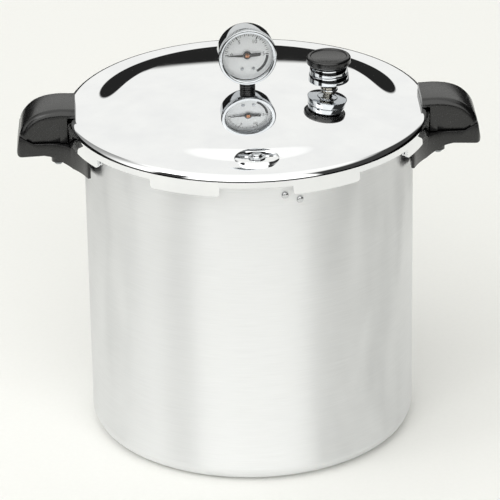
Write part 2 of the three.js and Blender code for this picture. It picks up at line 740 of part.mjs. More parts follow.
function makeArbor() {
  const spindle = turned([
    [0, backPlateAt + plateThickness + gap], [arborRadius, backPlateAt + plateThickness + gap],
    [arborRadius, 3.1], [2.4, 3.1], [2.2, 3.9], [0, 4.1],
  ], 14);
  const teeth = raised(new THREE.Shape(toothPoints(pinionPitch, pinionTeeth, 22.5, pinionTeeth)),
    sectorAt - 0.2, sectorAt + 1.1);
  return join(spindle, teeth);
}

function makeSector() {
  const step = 360 / sectorTeethPerTurn;
  const teeth = toothPoints(sectorPitch, sectorTeethPerTurn, 90 - 6 * step, 8);
  const rim = sectorPitch - 3.2;
  const at = (r, angle) => new THREE.Vector2(r * Math.cos(angle * deg), r * Math.sin(angle * deg));
  const shape = new THREE.Shape([
    ...teeth, at(rim, 98), at(2.2, 100), at(2.2, 160), at(1.9, 215), at(sectorTail + 0.7, 255),
    at(sectorTail + 0.7, 285), at(1.9, 325), at(2.2, 10), at(2.2, 48), at(rim, 50),
  ]);
  const plate = raised(shape, sectorAt, sectorAt + plateThickness);
  const tailPin = rod(0.6, sectorAt - 2.6, sectorAt + 0.2, 8).translate(0, -sectorTail, 0);
  const pivotHole = rod(arborRadius + gap, sectorAt - 1, sectorAt + 2, 10);
  return cut(join(plate, tailPin), pivotHole).translate(0, sectorPivot, 0);
}

function makeMovementPlate(low, drilled) {
  const plate = block(-9, 9, sectorPivot - 2.3, 5, low, low + plateThickness);
  if (!drilled) return plate;
  const hole = () => rod(arborRadius + gap, low - 1, low + 2, 10);
  return cut(plate, hole(), hole().translate(0, sectorPivot, 0));
}

function makePillar(x) {
  return rod(1.1, backPlateAt + plateThickness + gap, frontPlateAt - gap, 10).translate(x, 3.2, 0);
}

function makeSectorPin() {
  return turned([
    [0, backPlateAt + plateThickness + gap], [arborRadius, backPlateAt + plateThickness + gap],
    [arborRadius, frontPlateAt + plateThickness + 0.2], [0, frontPlateAt + plateThickness + 0.2],
  ], 10).translate(0, sectorPivot, 0);
}

function makeBourdonTube() {
  const path = new THREE.EllipseCurve(0, 0, tubeRing, tubeRing, -70 * deg, 215 * deg);
  const points = path.getPoints(20).map(({ x, y }) => new THREE.Vector3(x, y, tubeAt));
  const section = new THREE.Shape().absellipse(0, 0, 2.5, 0.8, 0, 2 * Math.PI);
  return new THREE.ExtrudeGeometry(section, {
    extrudePath: new THREE.CatmullRomCurve3(points), steps: 18, curveSegments: 4, bevelEnabled: false,
  });
}

function makeBourdonSocket() {
  const tubeEnd = tubeRing * Math.cos(-70 * deg) - 1.2;
  const bottom = -caseBore + 1.9;
  return join(
    block(-5, tubeEnd, bottom, bottom + 7, tubeAt - 2.6, tubeAt + 1.6),
    block(-4.5, 4.5, bottom, bottom + 0.8, tubeAt - 2.6, -1.2),
  );
}

function makeBourdonLink() {
  const behind = backPlateAt - 1.1;
  const tip = new THREE.Vector2(tubeRing * Math.cos(215 * deg) + 1.7, tubeRing * Math.sin(215 * deg) - 0.6);
  const end = new THREE.Vector2(-1.6, sectorPivot - sectorTail + 0.2);
  const side = end.clone().sub(tip).normalize()
    .rotateAround(new THREE.Vector2(), 90 * deg).multiplyScalar(0.8);
  const shape = new THREE.Shape([
    tip.clone().add(side), tip.clone().sub(side), end.clone().sub(side), end.clone().add(side),
  ]);
  return raised(shape, behind, behind + 0.7);
}

const dialScrews = [{ side: 'left', x: -4.9, y: -14 }, { side: 'right', x: 5.6, y: -14 }];

function makeDial() {
  const holes = dialScrews.map(({ x, y }) => rod(1.1, -2, 2, 10).translate(x, y, 0));
  return cut(rod(caseBore - 0.5, 0, dialThickness, 32), rod(arborRadius + gap, -2, 2, 10), ...holes);
}

function makeDialScrew() {
  return turned([
    [0, frontPlateAt + plateThickness + gap], [0.8, frontPlateAt + plateThickness + gap],
    [0.8, dialThickness + gap], [1.7, dialThickness + gap], [1.5, dialThickness + 0.9],
    [0, dialThickness + 1.1],
  ], 10);
}

function makePointer() {
  const hub = 3.9;
  const angle = (width) => Math.asin(width / hub);
  const shape = new THREE.Shape();
  shape.moveTo(-18.4, -0.3);
  shape.lineTo(-hub * Math.cos(angle(0.55)), -0.55);
  shape.absarc(0, 0, hub, Math.PI + angle(0.55), 2 * Math.PI - angle(1.5), false);
  shape.lineTo(12.4, -1.2);
  shape.lineTo(12.4, 1.7);
  shape.lineTo(hub * Math.cos(angle(1.5)), 1.5);
  shape.absarc(0, 0, hub, angle(1.5), Math.PI - angle(0.55), false);
  shape.lineTo(-18.4, 0.3);
  shape.closePath();
  shape.holes.push(new THREE.Path().absarc(0, 0, arborRadius + gap, 0, 2 * Math.PI, true));
  return raised(shape, 2.1, 2.7, 6);
}

// ---------------------------------------------------------------- the pieces

addPiece('pot_body', makePot(), brushedAluminium());
addPiece('locking_bracket', makeLockingBracket(), platedSteel());
for (const { side, angle, z } of rivets) {
  addPiece(`bracket_rivet_${side}`, alongRadius(makeRivet(), angle, z), pressedAluminium());
}
addPiece('canning_rack', makeRack(), pressedAluminium());
addPair('body_handle', makeBodyHandle, phenolic);
addPair('body_handle_strap', makeBodyStrap, platedSteel);
addPair('body_handle_screw', () => screw(
  bossBottom - 3 - gap, bodyStrapTop + nutHeight, bodyScrewX), platedSteel);
addPair('body_handle_nut', () => nut(nutRadius, handleScrewRadius + gap, bodyStrapTop + gap,
  bodyStrapTop + nutHeight).translate(bodyScrewX, 0, 0), platedSteel);

addPiece('sealing_ring', makeSealingRing(), blackRubber());
addPiece('lid_shell', makeLidShell(), polishedAluminium());
addPair('cover_handle', makeCoverHandle, phenolic);
addPair('cover_handle_strap', makeCoverStrap, platedSteel);
addPair('cover_handle_screw', () => screw(
  seamHeight + 1.6, coverStrapTop + nutHeight, coverScrewX), platedSteel);
addPair('cover_handle_nut', () => nut(nutRadius, handleScrewRadius + gap, coverStrapTop + gap,
  coverStrapTop + nutHeight).translate(coverScrewX, 0, 0), platedSteel);

addPiece('vent_pipe', makeVentPipe(), brass());
addPiece('vent_pipe_nut', makeVentNut(), brass());
addPiece('overpressure_plug', makePlug(), blackRubber());
addPiece('cover_lock_gasket', makeLockGasket(), blackRubber());
addPiece('cover_lock_pin', makeLockPin(), platedSteel());
addPiece('cover_lock_cap', makeLockCap(), chrome());

const regulator = stand(ventX, ventY, 0);
addPiece('regulator_body', makeRegulatorBody(), chrome(), regulator);
addPiece('regulator_ring_upper', makeRingWeight(ringSplit + 0.2, knobSeat - 1.2), chrome(), regulator);
addPiece('regulator_ring_lower', makeRingWeight(weightBottom, ringSplit - 0.2), chrome(), regulator);
addPiece('regulator_knob', makeKnob(), phenolic(), regulator);

addPiece('gauge_stem', makeGaugeStem(), phenolic());
addPiece('gauge_washer', makeGaugeWasher(), platedSteel());
addPiece('gauge_nut', makeGaugeNut(), brass());
const dial = dialGroup();
addPiece('gauge_case', makeGaugeCase(), chrome(), dial);
addPiece('gauge_bezel', makeBezel(), chrome(), dial);
addPiece('gauge_lens', rod(bezelRadius - 2.6, lensBack, lensBack + lensThickness, 32), lensGlass(), dial);
addPiece('gauge_dial', makeDial(), dialEnamel(), dial);
for (const { side, x, y } of dialScrews) {
  addPiece(`dial_screw_${side}`, makeDialScrew().translate(x, y, 0), platedSteel(), dial);
}
addPiece('movement_back_plate', makeMovementPlate(backPlateAt, false), brass(), dial);
addPiece('movement_front_plate', makeMovementPlate(frontPlateAt, true), brass(), dial);
addPiece('movement_pillar_left', makePillar(-7.5), brass(), dial);
addPiece('movement_pillar_right', makePillar(7.5), brass(), dial);
addPiece('sector_pin', makeSectorPin(), platedSteel(), dial);
addPiece('bourdon_socket', makeBourdonSocket(), brass(), dial);
addPiece('bourdon_tube', makeBourdonTube(), bronze(), dial);
addPiece('bourdon_link', makeBourdonLink(), brass(), dial);
addPiece('sector_gear', makeSector(), brass(), dial);
addPiece('pointer_arbor', makeArbor(), brass(), dial);
addPiece('gauge_pointer', makePointer(), pointerPaint(), dial);

export default canner;
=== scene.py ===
# %% [markdown]
# # A stovetop pressure canner
#
# A deep brushed pot stands under a mirror-polished lid with a dial gauge, a weighted regulator, a
# cover lock and four black moulded handles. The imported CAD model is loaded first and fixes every
# place and size. The showing pieces are then made again with more facets and softer edges, and
# every piece gets the finish that its real material has.

# %% The frame
import math

import bmesh
import bpy
from mathutils import Matrix, Vector


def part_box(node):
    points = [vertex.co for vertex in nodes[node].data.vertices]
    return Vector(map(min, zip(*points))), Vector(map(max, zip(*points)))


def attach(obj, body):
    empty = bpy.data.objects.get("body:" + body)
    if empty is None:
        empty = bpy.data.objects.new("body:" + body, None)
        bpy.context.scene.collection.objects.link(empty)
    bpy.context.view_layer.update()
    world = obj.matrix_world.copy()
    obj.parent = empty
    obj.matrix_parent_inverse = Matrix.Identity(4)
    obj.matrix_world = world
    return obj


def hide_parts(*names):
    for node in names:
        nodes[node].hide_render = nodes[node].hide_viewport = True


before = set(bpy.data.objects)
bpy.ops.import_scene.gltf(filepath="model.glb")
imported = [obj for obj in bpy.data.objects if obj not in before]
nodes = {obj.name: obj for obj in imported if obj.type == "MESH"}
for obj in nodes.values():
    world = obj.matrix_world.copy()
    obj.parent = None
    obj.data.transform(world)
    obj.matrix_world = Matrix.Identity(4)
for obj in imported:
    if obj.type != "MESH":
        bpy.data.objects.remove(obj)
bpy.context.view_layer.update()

# %% [markdown]
# The canner was designed in millimetres, so the pieces below are made in millimetres too, and
# each is scaled to metres once it is whole. The main sizes come first, read off the CAD nodes
# where a node's box gives them.

# %% Main sizes in millimetres
MM = 0.001


def box_mm(name):
    return [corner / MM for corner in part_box(name)]


pot_high = box_mm("pot_body")[1]
lid_low, lid_high = box_mm("lid_shell")
POT_RADIUS = 155.5
POT_HEIGHT = pot_high.z
SKIRT_RADIUS = lid_high.y
CROWN_RISE = 16
LID_THICKNESS = 3.3
RING_TOP = lid_high.z - CROWN_RISE
RING_UNDERSIDE = RING_TOP - LID_THICKNESS
SKIRT_INNER = SKIRT_RADIUS - 2.6
LUG_BOTTOM = lid_low.z
SKIRT_BOTTOM = RING_TOP - 12.1
ROUND_STEPS = 192
print("pot height", round(POT_HEIGHT, 1), "skirt", round(SKIRT_RADIUS, 1), "ring top", round(RING_TOP, 1))

# %% [markdown]
# ## Camera
#
# A long lens from more than three metres keeps the pot's sides almost parallel. It looks down at
# 25 degrees, a little from the left, and it is rolled by one degree, as a camera on a tripod often
# is. A camera looks along its own -Z, so a turn about Z is the roll.

# %% Camera
VIEW_TURN = math.radians(-2.2)
VIEW_HEIGHT = math.radians(24.88)
VIEW_ROLL = math.radians(-0.97)
VIEW_DISTANCE = 3.36
VIEW_TARGET = Vector((-0.0002, 0, 0.1693))

camera_data = bpy.data.cameras.new("camera")
camera_data.lens = 252
camera_data.sensor_width = 36
camera_data.clip_end = 50
camera = bpy.data.objects.new("camera", camera_data)
bpy.context.scene.collection.objects.link(camera)
out = Vector((
    math.sin(VIEW_TURN) * math.cos(VIEW_HEIGHT),
    -math.cos(VIEW_TURN) * math.cos(VIEW_HEIGHT),
    math.sin(VIEW_HEIGHT),
))
look = out.to_track_quat("Z", "Y").to_matrix().to_4x4()
camera.matrix_world = (
    Matrix.Translation(VIEW_TARGET + out * VIEW_DISTANCE) @ look @ Matrix.Rotation(VIEW_ROLL, 4, "Z")
)
bpy.context.scene.camera = camera
print("camera at", tuple(round(c, 3) for c in camera.matrix_world.translation))

# %% [markdown]
# ## Colour and node helpers
#
# Colours are picked as sRGB hex values, the way a paint chart gives them, but a shader works in
# linear light, so one function turns the one into the other. Another adds a node, sets its
# options and fills or links its inputs, which keeps each material short enough to read.

# %% Colour and node helpers
def linear(hex_colour):
    """A linear RGBA colour from an sRGB hex value such as 'C8CACC'."""
    shares = [int(hex_colour[i:i + 2], 16) / 255 for i in (0, 2, 4)]
    return (*(c / 12.92 if c <= 0.04045 else ((c + 0.055) / 1.055) ** 2.4 for c in shares), 1)


def add_node(tree, kind, inputs=None, **settings):
    """A new node with its settings, whose inputs take a value or another node's output."""
    made = tree.nodes.new(kind)
    for name, value in settings.items():
        setattr(made, name, value)
    for name, value in (inputs or {}).items():
        if isinstance(value, bpy.types.NodeSocket):
            tree.links.new(value, made.inputs[name])
        else:
            made.inputs[name].default_value = value
    return made


def new_material(name, **shader):
    """A material with one Principled shader, and the tree it stands in."""
    material = bpy.data.materials.new(name)
    material.use_nodes = True
    tree = material.node_tree
    tree.nodes.clear()
    surface = add_node(tree, "ShaderNodeBsdfPrincipled", shader)
    add_node(tree, "ShaderNodeOutputMaterial", {"Surface": surface.outputs["BSDF"]})
    return material, tree, surface


def grain(tree, size_mm, detail=2.0, stretch=(1, 1, 1)):
    """Noise on Object coordinates whose lumps are about size_mm, drawn out by stretch."""
    place = add_node(tree, "ShaderNodeTexCoord")
    mapping = add_node(tree, "ShaderNodeMapping", {
        "Vector": place.outputs["Object"],
        "Scale": tuple(1 / (size_mm * MM * s) for s in stretch),
    })
    return add_node(tree, "ShaderNodeTexNoise", {
        "Vector": mapping.outputs["Vector"], "Scale": 1.0, "Detail": detail, "Roughness": 0.55,
    }).outputs["Fac"]


def spread(tree, value, low, high, start=0.3, end=0.7):
    """Maps a noise value to a range of a shader input."""
    return add_node(tree, "ShaderNodeMapRange", {
        "Value": value, "From Min": start, "From Max": end, "To Min": low, "To Max": high,
    }).outputs["Result"]


def tint(tree, value, dark, light):
    """Mixes two sRGB colours by a noise value."""
    ramp = add_node(tree, "ShaderNodeValToRGB", {"Fac": value})
    ramp.color_ramp.elements[0].position = 0.3
    ramp.color_ramp.elements[0].color = linear(dark)
    ramp.color_ramp.elements[1].position = 0.7
    ramp.color_ramp.elements[1].color = linear(light)
    return ramp.outputs["Color"]


def roughen(tree, surface, value, strength, depth_mm):
    """Bump from a noise value, with the real depth of the marks."""
    bump = add_node(tree, "ShaderNodeBump", {
        "Height": value, "Strength": strength, "Distance": depth_mm * MM,
    })
    tree.links.new(bump.outputs["Normal"], surface.inputs["Normal"])


print("white is", linear("FFFFFF"))

# %% [markdown]
# ## Metals
#
# The pot is spun aluminium, brushed while it turns on a lathe. The brush leaves hair-fine grooves
# round the pot, so a highlight is smeared up and down but keeps its place from side to side. That
# is anisotropy, with the grooves as its tangent. The real grooves are about a twentieth of a
# millimetre wide, too fine to show here, so the pattern draws them 0.5 mm high and a few
# centimetres long.

# %% Brushed aluminium of the pot
brushed, tree, surface = new_material(
    "brushed_aluminium", **{"Metallic": 1.0, "Anisotropic": 0.88, "Anisotropic Rotation": 0.25})
hairlines = grain(tree, 0.5, 3.0, stretch=(60, 60, 1))
patches = grain(tree, 26, 1.0, stretch=(1, 1, 3))
lines = tint(tree, hairlines, "F0F1F2", "F6F7F8")
tree.links.new(lines, surface.inputs["Base Color"])
tree.links.new(spread(tree, patches, 0.36, 0.42), surface.inputs["Roughness"])
tangent = add_node(tree, "ShaderNodeTangent", direction_type="RADIAL", axis="Z")
tree.links.new(tangent.outputs["Tangent"], surface.inputs["Tangent"])
roughen(tree, surface, hairlines, 0.12, 0.015)
print("made", brushed.name)

# %% [markdown]
# The lid is the same aluminium, buffed on a wheel until it mirrors the room. Buffing leaves a
# slight haze in wide arcs, so its roughness wanders between 0.02 and 0.045.

# %% Polished aluminium of the lid
polished, tree, surface = new_material("polished_aluminium", **{"Metallic": 1.0})
haze = grain(tree, 30, 2.0)
tree.links.new(tint(tree, haze, "EEEFF1", "F4F5F6"), surface.inputs["Base Color"])
tree.links.new(spread(tree, haze, 0.02, 0.045), surface.inputs["Roughness"])
roughen(tree, surface, grain(tree, 60, 1.0), 0.012, 0.2)
print("made", polished.name)

# %% [markdown]
# The rack and the rivets are pressed or headed aluminium, which keeps the dull skin of the
# sheet or the wire. One recipe with a fine grain serves both. Chrome plate is smoother and a
# little bluer, zinc-plated steel is greyer and cloudier, and the brass and bronze parts carry the
# faint mottling of machined stock that has aged.

# %% Other metals
def plain_metal(name, dark, light, smooth, rough, size_mm, strength=0.05, depth_mm=0.02):
    """A metal whose colour and roughness wander on one noise."""
    material, tree, surface = new_material(name, **{"Metallic": 1.0})
    cloud = grain(tree, size_mm, 3.0)
    tree.links.new(tint(tree, cloud, dark, light), surface.inputs["Base Color"])
    tree.links.new(spread(tree, cloud, smooth, rough), surface.inputs["Roughness"])
    roughen(tree, surface, cloud, strength, depth_mm)
    return material


rack_aluminium = plain_metal("pressed_rack_aluminium", "B9BBBE", "CBCDCF", 0.3, 0.42, 3)
rivet_aluminium = plain_metal("headed_rivet_aluminium", "C6C8CA", "DADBDD", 0.12, 0.2, 1.2)
chrome = plain_metal("chrome_plate", "C4C7CA", "CDD0D3", 0.03, 0.06, 8, 0.01)
knurled_chrome = plain_metal("knurled_chrome_plate", "BFC2C5", "CBCED1", 0.08, 0.14, 2, 0.02)
zinc_steel = plain_metal("zinc_plated_steel", "8F9396", "A9ACAF", 0.22, 0.38, 1.5)
vent_metal = plain_metal("nickel_plated_brass", "87837A", "A19D94", 0.12, 0.24, 1.5)
brass = plain_metal("machined_brass", "A87C3A", "C1964F", 0.2, 0.32, 1.5)
copper_boss = plain_metal("copper_washed_brass", "8A5C3E", "A5714D", 0.18, 0.3, 1)
bronze = plain_metal("drawn_bronze", "94673F", "AE7D52", 0.24, 0.36, 1.2)
print("metals:", len([m for m in bpy.data.materials if m.name.islower()]))

# %% [markdown]
# ## Plastic, rubber, enamel and glass
#
# The handles, the knob and the gauge's stem are phenolic, the black moulding plastic of pan
# handles. It isn't a metal: its gloss comes from its surface at an IOR of about 1.6. The mould's
# skin is smooth, with a faint orange peel about 1.5 mm across.

# %% Phenolic
phenolic, tree, surface = new_material("black_phenolic", **{"IOR": 1.6})
peel = grain(tree, 1.5, 2.0)
tree.links.new(tint(tree, grain(tree, 9, 2.0), "040404", "080809"), surface.inputs["Base Color"])
tree.links.new(spread(tree, peel, 0.2, 0.3), surface.inputs["Roughness"])
roughen(tree, surface, peel, 0.06, 0.03)
print("made", phenolic.name)

# %% [markdown]
# The overpressure plug, the sealing ring and the lock's gasket are black rubber, matt and a
# little dusty. The pointer is painted steel. The dial is silver enamel: flakes of metal in a
# clear coat, so it is half way between paint and metal.

# %% Rubber, paint and dial enamel
def plain_coat(name, dark, light, smooth, rough, size_mm, strength, **shader):
    """A paint or a rubber whose colour and roughness wander on one noise."""
    material, tree, surface = new_material(name, **shader)
    cloud = grain(tree, size_mm, 3.0)
    tree.links.new(tint(tree, cloud, dark, light), surface.inputs["Base Color"])
    tree.links.new(spread(tree, cloud, smooth, rough), surface.inputs["Roughness"])
    roughen(tree, surface, cloud, strength, 0.02)
    return material


rubber = plain_coat("black_rubber", "131314", "1D1D1E", 0.6, 0.78, 1.2, 0.2, IOR=1.52)
pointer_paint = plain_coat("black_pointer_paint", "050505", "0B0B0B", 0.4, 0.5, 1, 0.05, IOR=1.5)
mark_ink = plain_coat("black_dial_ink", "101012", "18181A", 0.5, 0.6, 1, 0.0, IOR=1.5)
dial_enamel = plain_coat("silver_dial_enamel", "DCDEDF", "E8EAEB", 0.36, 0.44, 0.6, 0.05, Metallic=0.3)
print("made", dial_enamel.name)

# %% [markdown]
# The gauge's lens is a clear plastic disc. A thin flat disc hardly bends light, so it is made of a
# mostly see-through surface that keeps its gloss, with no refraction, and the dial stays sharp
# behind it.

# %% Lens
lens_clear, tree, surface = new_material(
    "clear_gauge_lens", **{"Base Color": linear("F4F7F8"), "Alpha": 0.05, "IOR": 1.49})
tree.links.new(spread(tree, grain(tree, 6, 2.0), 0.02, 0.05), surface.inputs["Roughness"])
lens_clear.surface_render_method = "BLENDED"
print("made", lens_clear.name)

# %% [markdown]
# ## Mesh helpers
#
# Nearly everything here was turned or pressed round an axis, so one helper spins an outline of
# (radius, height) points about Z and merges the seam and the poles. Another rounds chosen rings
# with a bevel, because a real edge always catches a line of light. The last one scales a piece to
# metres, gives it its material, and ties it to its body.

# %% Mesh helpers
def spin_outline(points, steps, closed=False):
    """A bmesh of an outline of (radius, height) points, spun once round Z."""
    bm = bmesh.new()
    verts = [bm.verts.new((r, 0, z)) for r, z in points]
    edges = [bm.edges.new(pair) for pair in zip(verts, verts[1:])]
    if closed:
        edges.append(bm.edges.new((verts[-1], verts[0])))
    bmesh.ops.spin(
        bm, geom=verts + edges, cent=(0, 0, 0), axis=(0, 0, 1), dvec=(0, 0, 0),
        angle=2 * math.pi, steps=steps, use_merge=True, use_duplicate=False,
    )
    bmesh.ops.remove_doubles(bm, verts=bm.verts, dist=0.0005)
    bmesh.ops.recalc_face_normals(bm, faces=bm.faces)
    return bm


def bevel_edges(bm, edges, width, segments=2):
    """Rounds these edges with the defaults that the editor has."""
    bmesh.ops.bevel(
        bm, geom=list(edges), offset=width, offset_type="OFFSET", segments=segments, profile=0.5,
        affect="EDGES", clamp_overlap=True, material=-1,
    )


def ring_edges(bm, radius, height):
    """The edges of the ring at a radius and a height."""
    def on_ring(vert):
        return abs(vert.co.xy.length - radius) < 0.02 and abs(vert.co.z - height) < 0.02
    return [edge for edge in bm.edges if all(on_ring(v) for v in edge.verts)]


def sharp_edges(bm, degrees):
    """The edges whose two faces meet at more than this angle."""
    limit = math.radians(degrees)
    return [e for e in bm.edges if len(e.link_faces) == 2 and e.calc_face_angle(0) > limit]


def turned(points, rounds=(), steps=96, closed=False):
    """A spun outline, with (radius, height, width) rings rounded."""
    bm = spin_outline(points, steps, closed)
    for radius, height, width in rounds:
        bevel_edges(bm, ring_edges(bm, radius, height), width, 3)
    return bm


def extrude_faces(bm, faces, keep=False):
    """Extrudes faces as one region and gives its new vertices, which are still in place."""
    grown = bmesh.ops.extrude_face_region(bm, geom=faces)
    if not keep:
        bmesh.ops.delete(bm, geom=faces, context="FACES")
    return [v for v in grown["geom"] if isinstance(v, bmesh.types.BMVert)]


def move(bm, matrix):
    """Moves a whole bmesh by a matrix and gives it back."""
    bmesh.ops.transform(bm, matrix=matrix, verts=bm.verts)
    return bm


def finish(name, bm, material, body, replaced=(), smooth_below=35):
    """A whole piece in metres, smooth apart from its sharp edges, riding on its body."""
    bmesh.ops.scale(bm, vec=(MM, MM, MM), verts=bm.verts)
    for face in bm.faces:
        face.smooth = True
    for edge in sharp_edges(bm, smooth_below):
        edge.smooth = False
    mesh = bpy.data.meshes.new(name)
    bm.to_mesh(mesh)
    bm.free()
    mesh.materials.append(material)
    piece = bpy.data.objects.new(name, mesh)
    bpy.context.scene.collection.objects.link(piece)
    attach(piece, body)
    if replaced:
        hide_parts(*replaced)
    print(name, len(mesh.polygons), "faces")
    return piece


print("a test ring has", len(turned([(5, 0), (6, 0), (6, 1), (5, 1)], steps=12, closed=True).faces), "faces")

# %% [markdown]
# ## Pot
#
# The real pot is drawn from a disc of sheet: a flat floor, a round corner, straight sides, and a
# rim rolled out to a flange with eight lugs. It could be a cylinder with a Solidify modifier, but
# the flange and the corner have their own thickness, so the whole section is spun instead. The
# lugs are the flange's own outer faces, extruded and scaled outwards, with their corners rounded.

# %% Pot
def arc(r, z, radius, start, end, steps):
    """Outline points round a corner, between two angles in degrees."""
    angles = [math.radians(start + (end - start) * i / steps) for i in range(steps + 1)]
    return [(r + radius * math.cos(a), z + radius * math.sin(a)) for a in angles]


def lug_faces(bm, test, half_angle):
    """The faces that pass a test and lie within half_angle of one of the eight lugs."""
    def near_lug(face):
        middle = face.calc_center_median()
        angle = math.degrees(math.atan2(middle.y, middle.x))
        return abs((angle - 22.5 + 22.5) % 45 - 22.5) < half_angle
    return [face for face in bm.faces if test(face) and near_lug(face)]


FLANGE_RADIUS = 161.5
POT_LUG_RADIUS = 167.3
POT_BORE = 153.0
pot = spin_outline([
    (0, 0.5), (70, 0.35), (138, 0), *arc(140.5, 15, 15, -90, 0, 10),
    (POT_RADIUS, 20), (POT_RADIUS, 300.5), *arc(158.5, 301, 3, 180, 90, 4)[1:],
    (FLANGE_RADIUS, 304), (FLANGE_RADIUS, POT_HEIGHT), (POT_BORE, POT_HEIGHT),
    *arc(140.5, 16.5, 12.5, 0, -90, 6), (0, 4),
], ROUND_STEPS)


def on_flange_side(face):
    return all(abs(v.co.xy.length - FLANGE_RADIUS) < 0.05 and v.co.z > 303.5 for v in face.verts)


sides = lug_faces(pot, on_flange_side, 9.5)
tips = extrude_faces(pot, sides)
share = POT_LUG_RADIUS / FLANGE_RADIUS
bmesh.ops.scale(pot, vec=(share, share, 1), verts=tips)
bmesh.ops.recalc_face_normals(pot, faces=pot.faces)


def upright(edge):
    low, high = sorted((v.co for v in edge.verts), key=lambda c: c.z)
    return high.z - low.z > 3 and (high - low).xy.length < 0.5


corners = [e for e in sharp_edges(pot, 50) if upright(e) and e.verts[0].co.xy.length > 167]
bevel_edges(pot, corners, 2.5, 3)
bevel_edges(pot, [e for e in sharp_edges(pot, 60) if e.verts[0].co.z > 303], 0.5, 2)
finish("pot_shell", pot, brushed, "pot", ["pot_body"])

# %% [markdown]
# Two rivets hold the lock's bracket inside the wall. Their heads are low domes outside the pot,
# so each is an outline spun about Z and then laid along a radius.

# %% Rivets
RIVETS = {"left": (-80.2, 294.1), "right": (-75.0, 288.3)}
for side, (angle, height) in RIVETS.items():
    rivet = turned([
        (0, 149.2), (2.0, 149.3), (2.7, 149.8), (3, 150.6), (1.6, 150.6), (1.6, 155.8), (3.3, 155.8),
        (3.25, 156.3), (2.9, 156.8), (2.1, 157.2), (1.1, 157.38), (0, 157.4),
    ], steps=32)
    lay = Matrix.Rotation(math.radians(90), 4, "Y")
    turn = Matrix.Rotation(math.radians(angle), 4, "Z")
    move(rivet, Matrix.Translation((0, 0, height)) @ turn @ lay)
    finish(f"rivet_{side}", rivet, rivet_aluminium, "pot", [f"bracket_rivet_{side}"])

# %% [markdown]
# ## Lid
#
# The lid is pressed from thicker sheet: a shallow crown, an S-curve down to a flat ring, a rolled
# shoulder and a short skirt with eight lugs that hook under the pot's. A polished lid shows every
# facet, so the outline follows the curve in steps of a few millimetres. Each lug is the skirt's
# lower rim extruded down, with its lower corners rounded. The lid is finished two steps further
# on, when the seat for the cover lock has been cut from it.

# %% Lid
CROWN_RADIUS = 118.0
CROWN_TOP = RING_TOP + CROWN_RISE
RING_INNER = 152.0
SPHERE = 966.9


def lid_height(r):
    """Height of the lid's upper face at a distance from its middle."""
    if r <= CROWN_RADIUS:
        return CROWN_TOP - r ** 2 / (2 * SPHERE)
    if r >= RING_INNER:
        return RING_TOP
    width = RING_INNER - CROWN_RADIUS
    t = (r - CROWN_RADIUS) / width
    start = CROWN_TOP - CROWN_RADIUS ** 2 / (2 * SPHERE)
    slope = -CROWN_RADIUS / SPHERE * width
    return start * (1 + 2 * t) * (1 - t) ** 2 + slope * t * (1 - t) ** 2 + RING_TOP * t ** 2 * (3 - 2 * t)


upper = [r for r in range(0, 118, 6)] + [118 + 34 * i / 16 for i in range(17)]
lower = [r for r in range(0, 118, 12)] + [118 + 34 * i / 8 for i in range(9)]
lid = spin_outline([
    *[(r, lid_height(r)) for r in upper],
    *arc(SKIRT_RADIUS - 6.8, RING_TOP - 6.8, 6.8, 90, 0, 9),
    (SKIRT_RADIUS, SKIRT_BOTTOM), (SKIRT_INNER, SKIRT_BOTTOM),
    (SKIRT_INNER, RING_UNDERSIDE),
    *[(r, lid_height(r) - LID_THICKNESS) for r in reversed(lower)],
], ROUND_STEPS)


def on_skirt_rim(face):
    return all(abs(v.co.z - SKIRT_BOTTOM) < 0.05 for v in face.verts)


rims = lug_faces(lid, on_skirt_rim, 12)
tips = extrude_faces(lid, rims)
bmesh.ops.translate(lid, vec=(0, 0, LUG_BOTTOM - SKIRT_BOTTOM), verts=tips)
bmesh.ops.recalc_face_normals(lid, faces=lid.faces)


def lug_corner(edge):
    """A radial edge at a lug's lower corner."""
    first, last = edge.verts
    at_bottom = all(abs(v.co.z - LUG_BOTTOM) < 0.05 for v in edge.verts)
    return at_bottom and abs(first.co.xy.length - last.co.xy.length) > 2


def rim_edge(edge):
    """An edge that runs round the lid, at the foot of the skirt or of a lug."""
    first, last = edge.verts
    level = abs(first.co.z - last.co.z) < 0.05 and first.co.z < SKIRT_BOTTOM + 0.05
    return level and abs(first.co.xy.length - last.co.xy.length) < 0.05


bevel_edges(lid, [e for e in sharp_edges(lid, 60) if lug_corner(e)], 3.2, 5)
bevel_edges(lid, [e for e in sharp_edges(lid, 60) if rim_edge(e)], 0.45, 2)
print("lid", len(lid.faces), "faces")

# %% [markdown]
# The lips are the part of each lug that hooks under the pot's flange. A short rectangle is spun
# through 20 degrees for each, which is a face swept along an arc.

# %% Lips of the lid's lugs
LIP_STEPS = 10
LIP_HALF_ANGLE = 10
LIP_INNER, LIP_OUTER = 163.6, 169.3
for index in range(8):
    lip = bmesh.new()
    low, high = LUG_BOTTOM + 0.25, LUG_BOTTOM + 2.4
    section = ((LIP_INNER, low), (LIP_OUTER, low), (LIP_OUTER, high), (LIP_INNER, high))
    profile = [lip.verts.new((r, 0, z)) for r, z in section]
    face = lip.faces.new(profile)
    move(lip, Matrix.Rotation(math.radians(45 * index + 22.5 - LIP_HALF_ANGLE), 4, "Z"))
    bmesh.ops.spin(
        lip, geom=[face], cent=(0, 0, 0), axis=(0, 0, 1), dvec=(0, 0, 0),
        angle=math.radians(2 * LIP_HALF_ANGLE), steps=LIP_STEPS, use_merge=False, use_duplicate=False,
    )
    bmesh.ops.recalc_face_normals(lip, faces=lip.faces)
    bevel_edges(lip, sharp_edges(lip, 60), 0.4, 2)
    finish(f"lid_lip_{index + 1}", lip, polished, "lid")

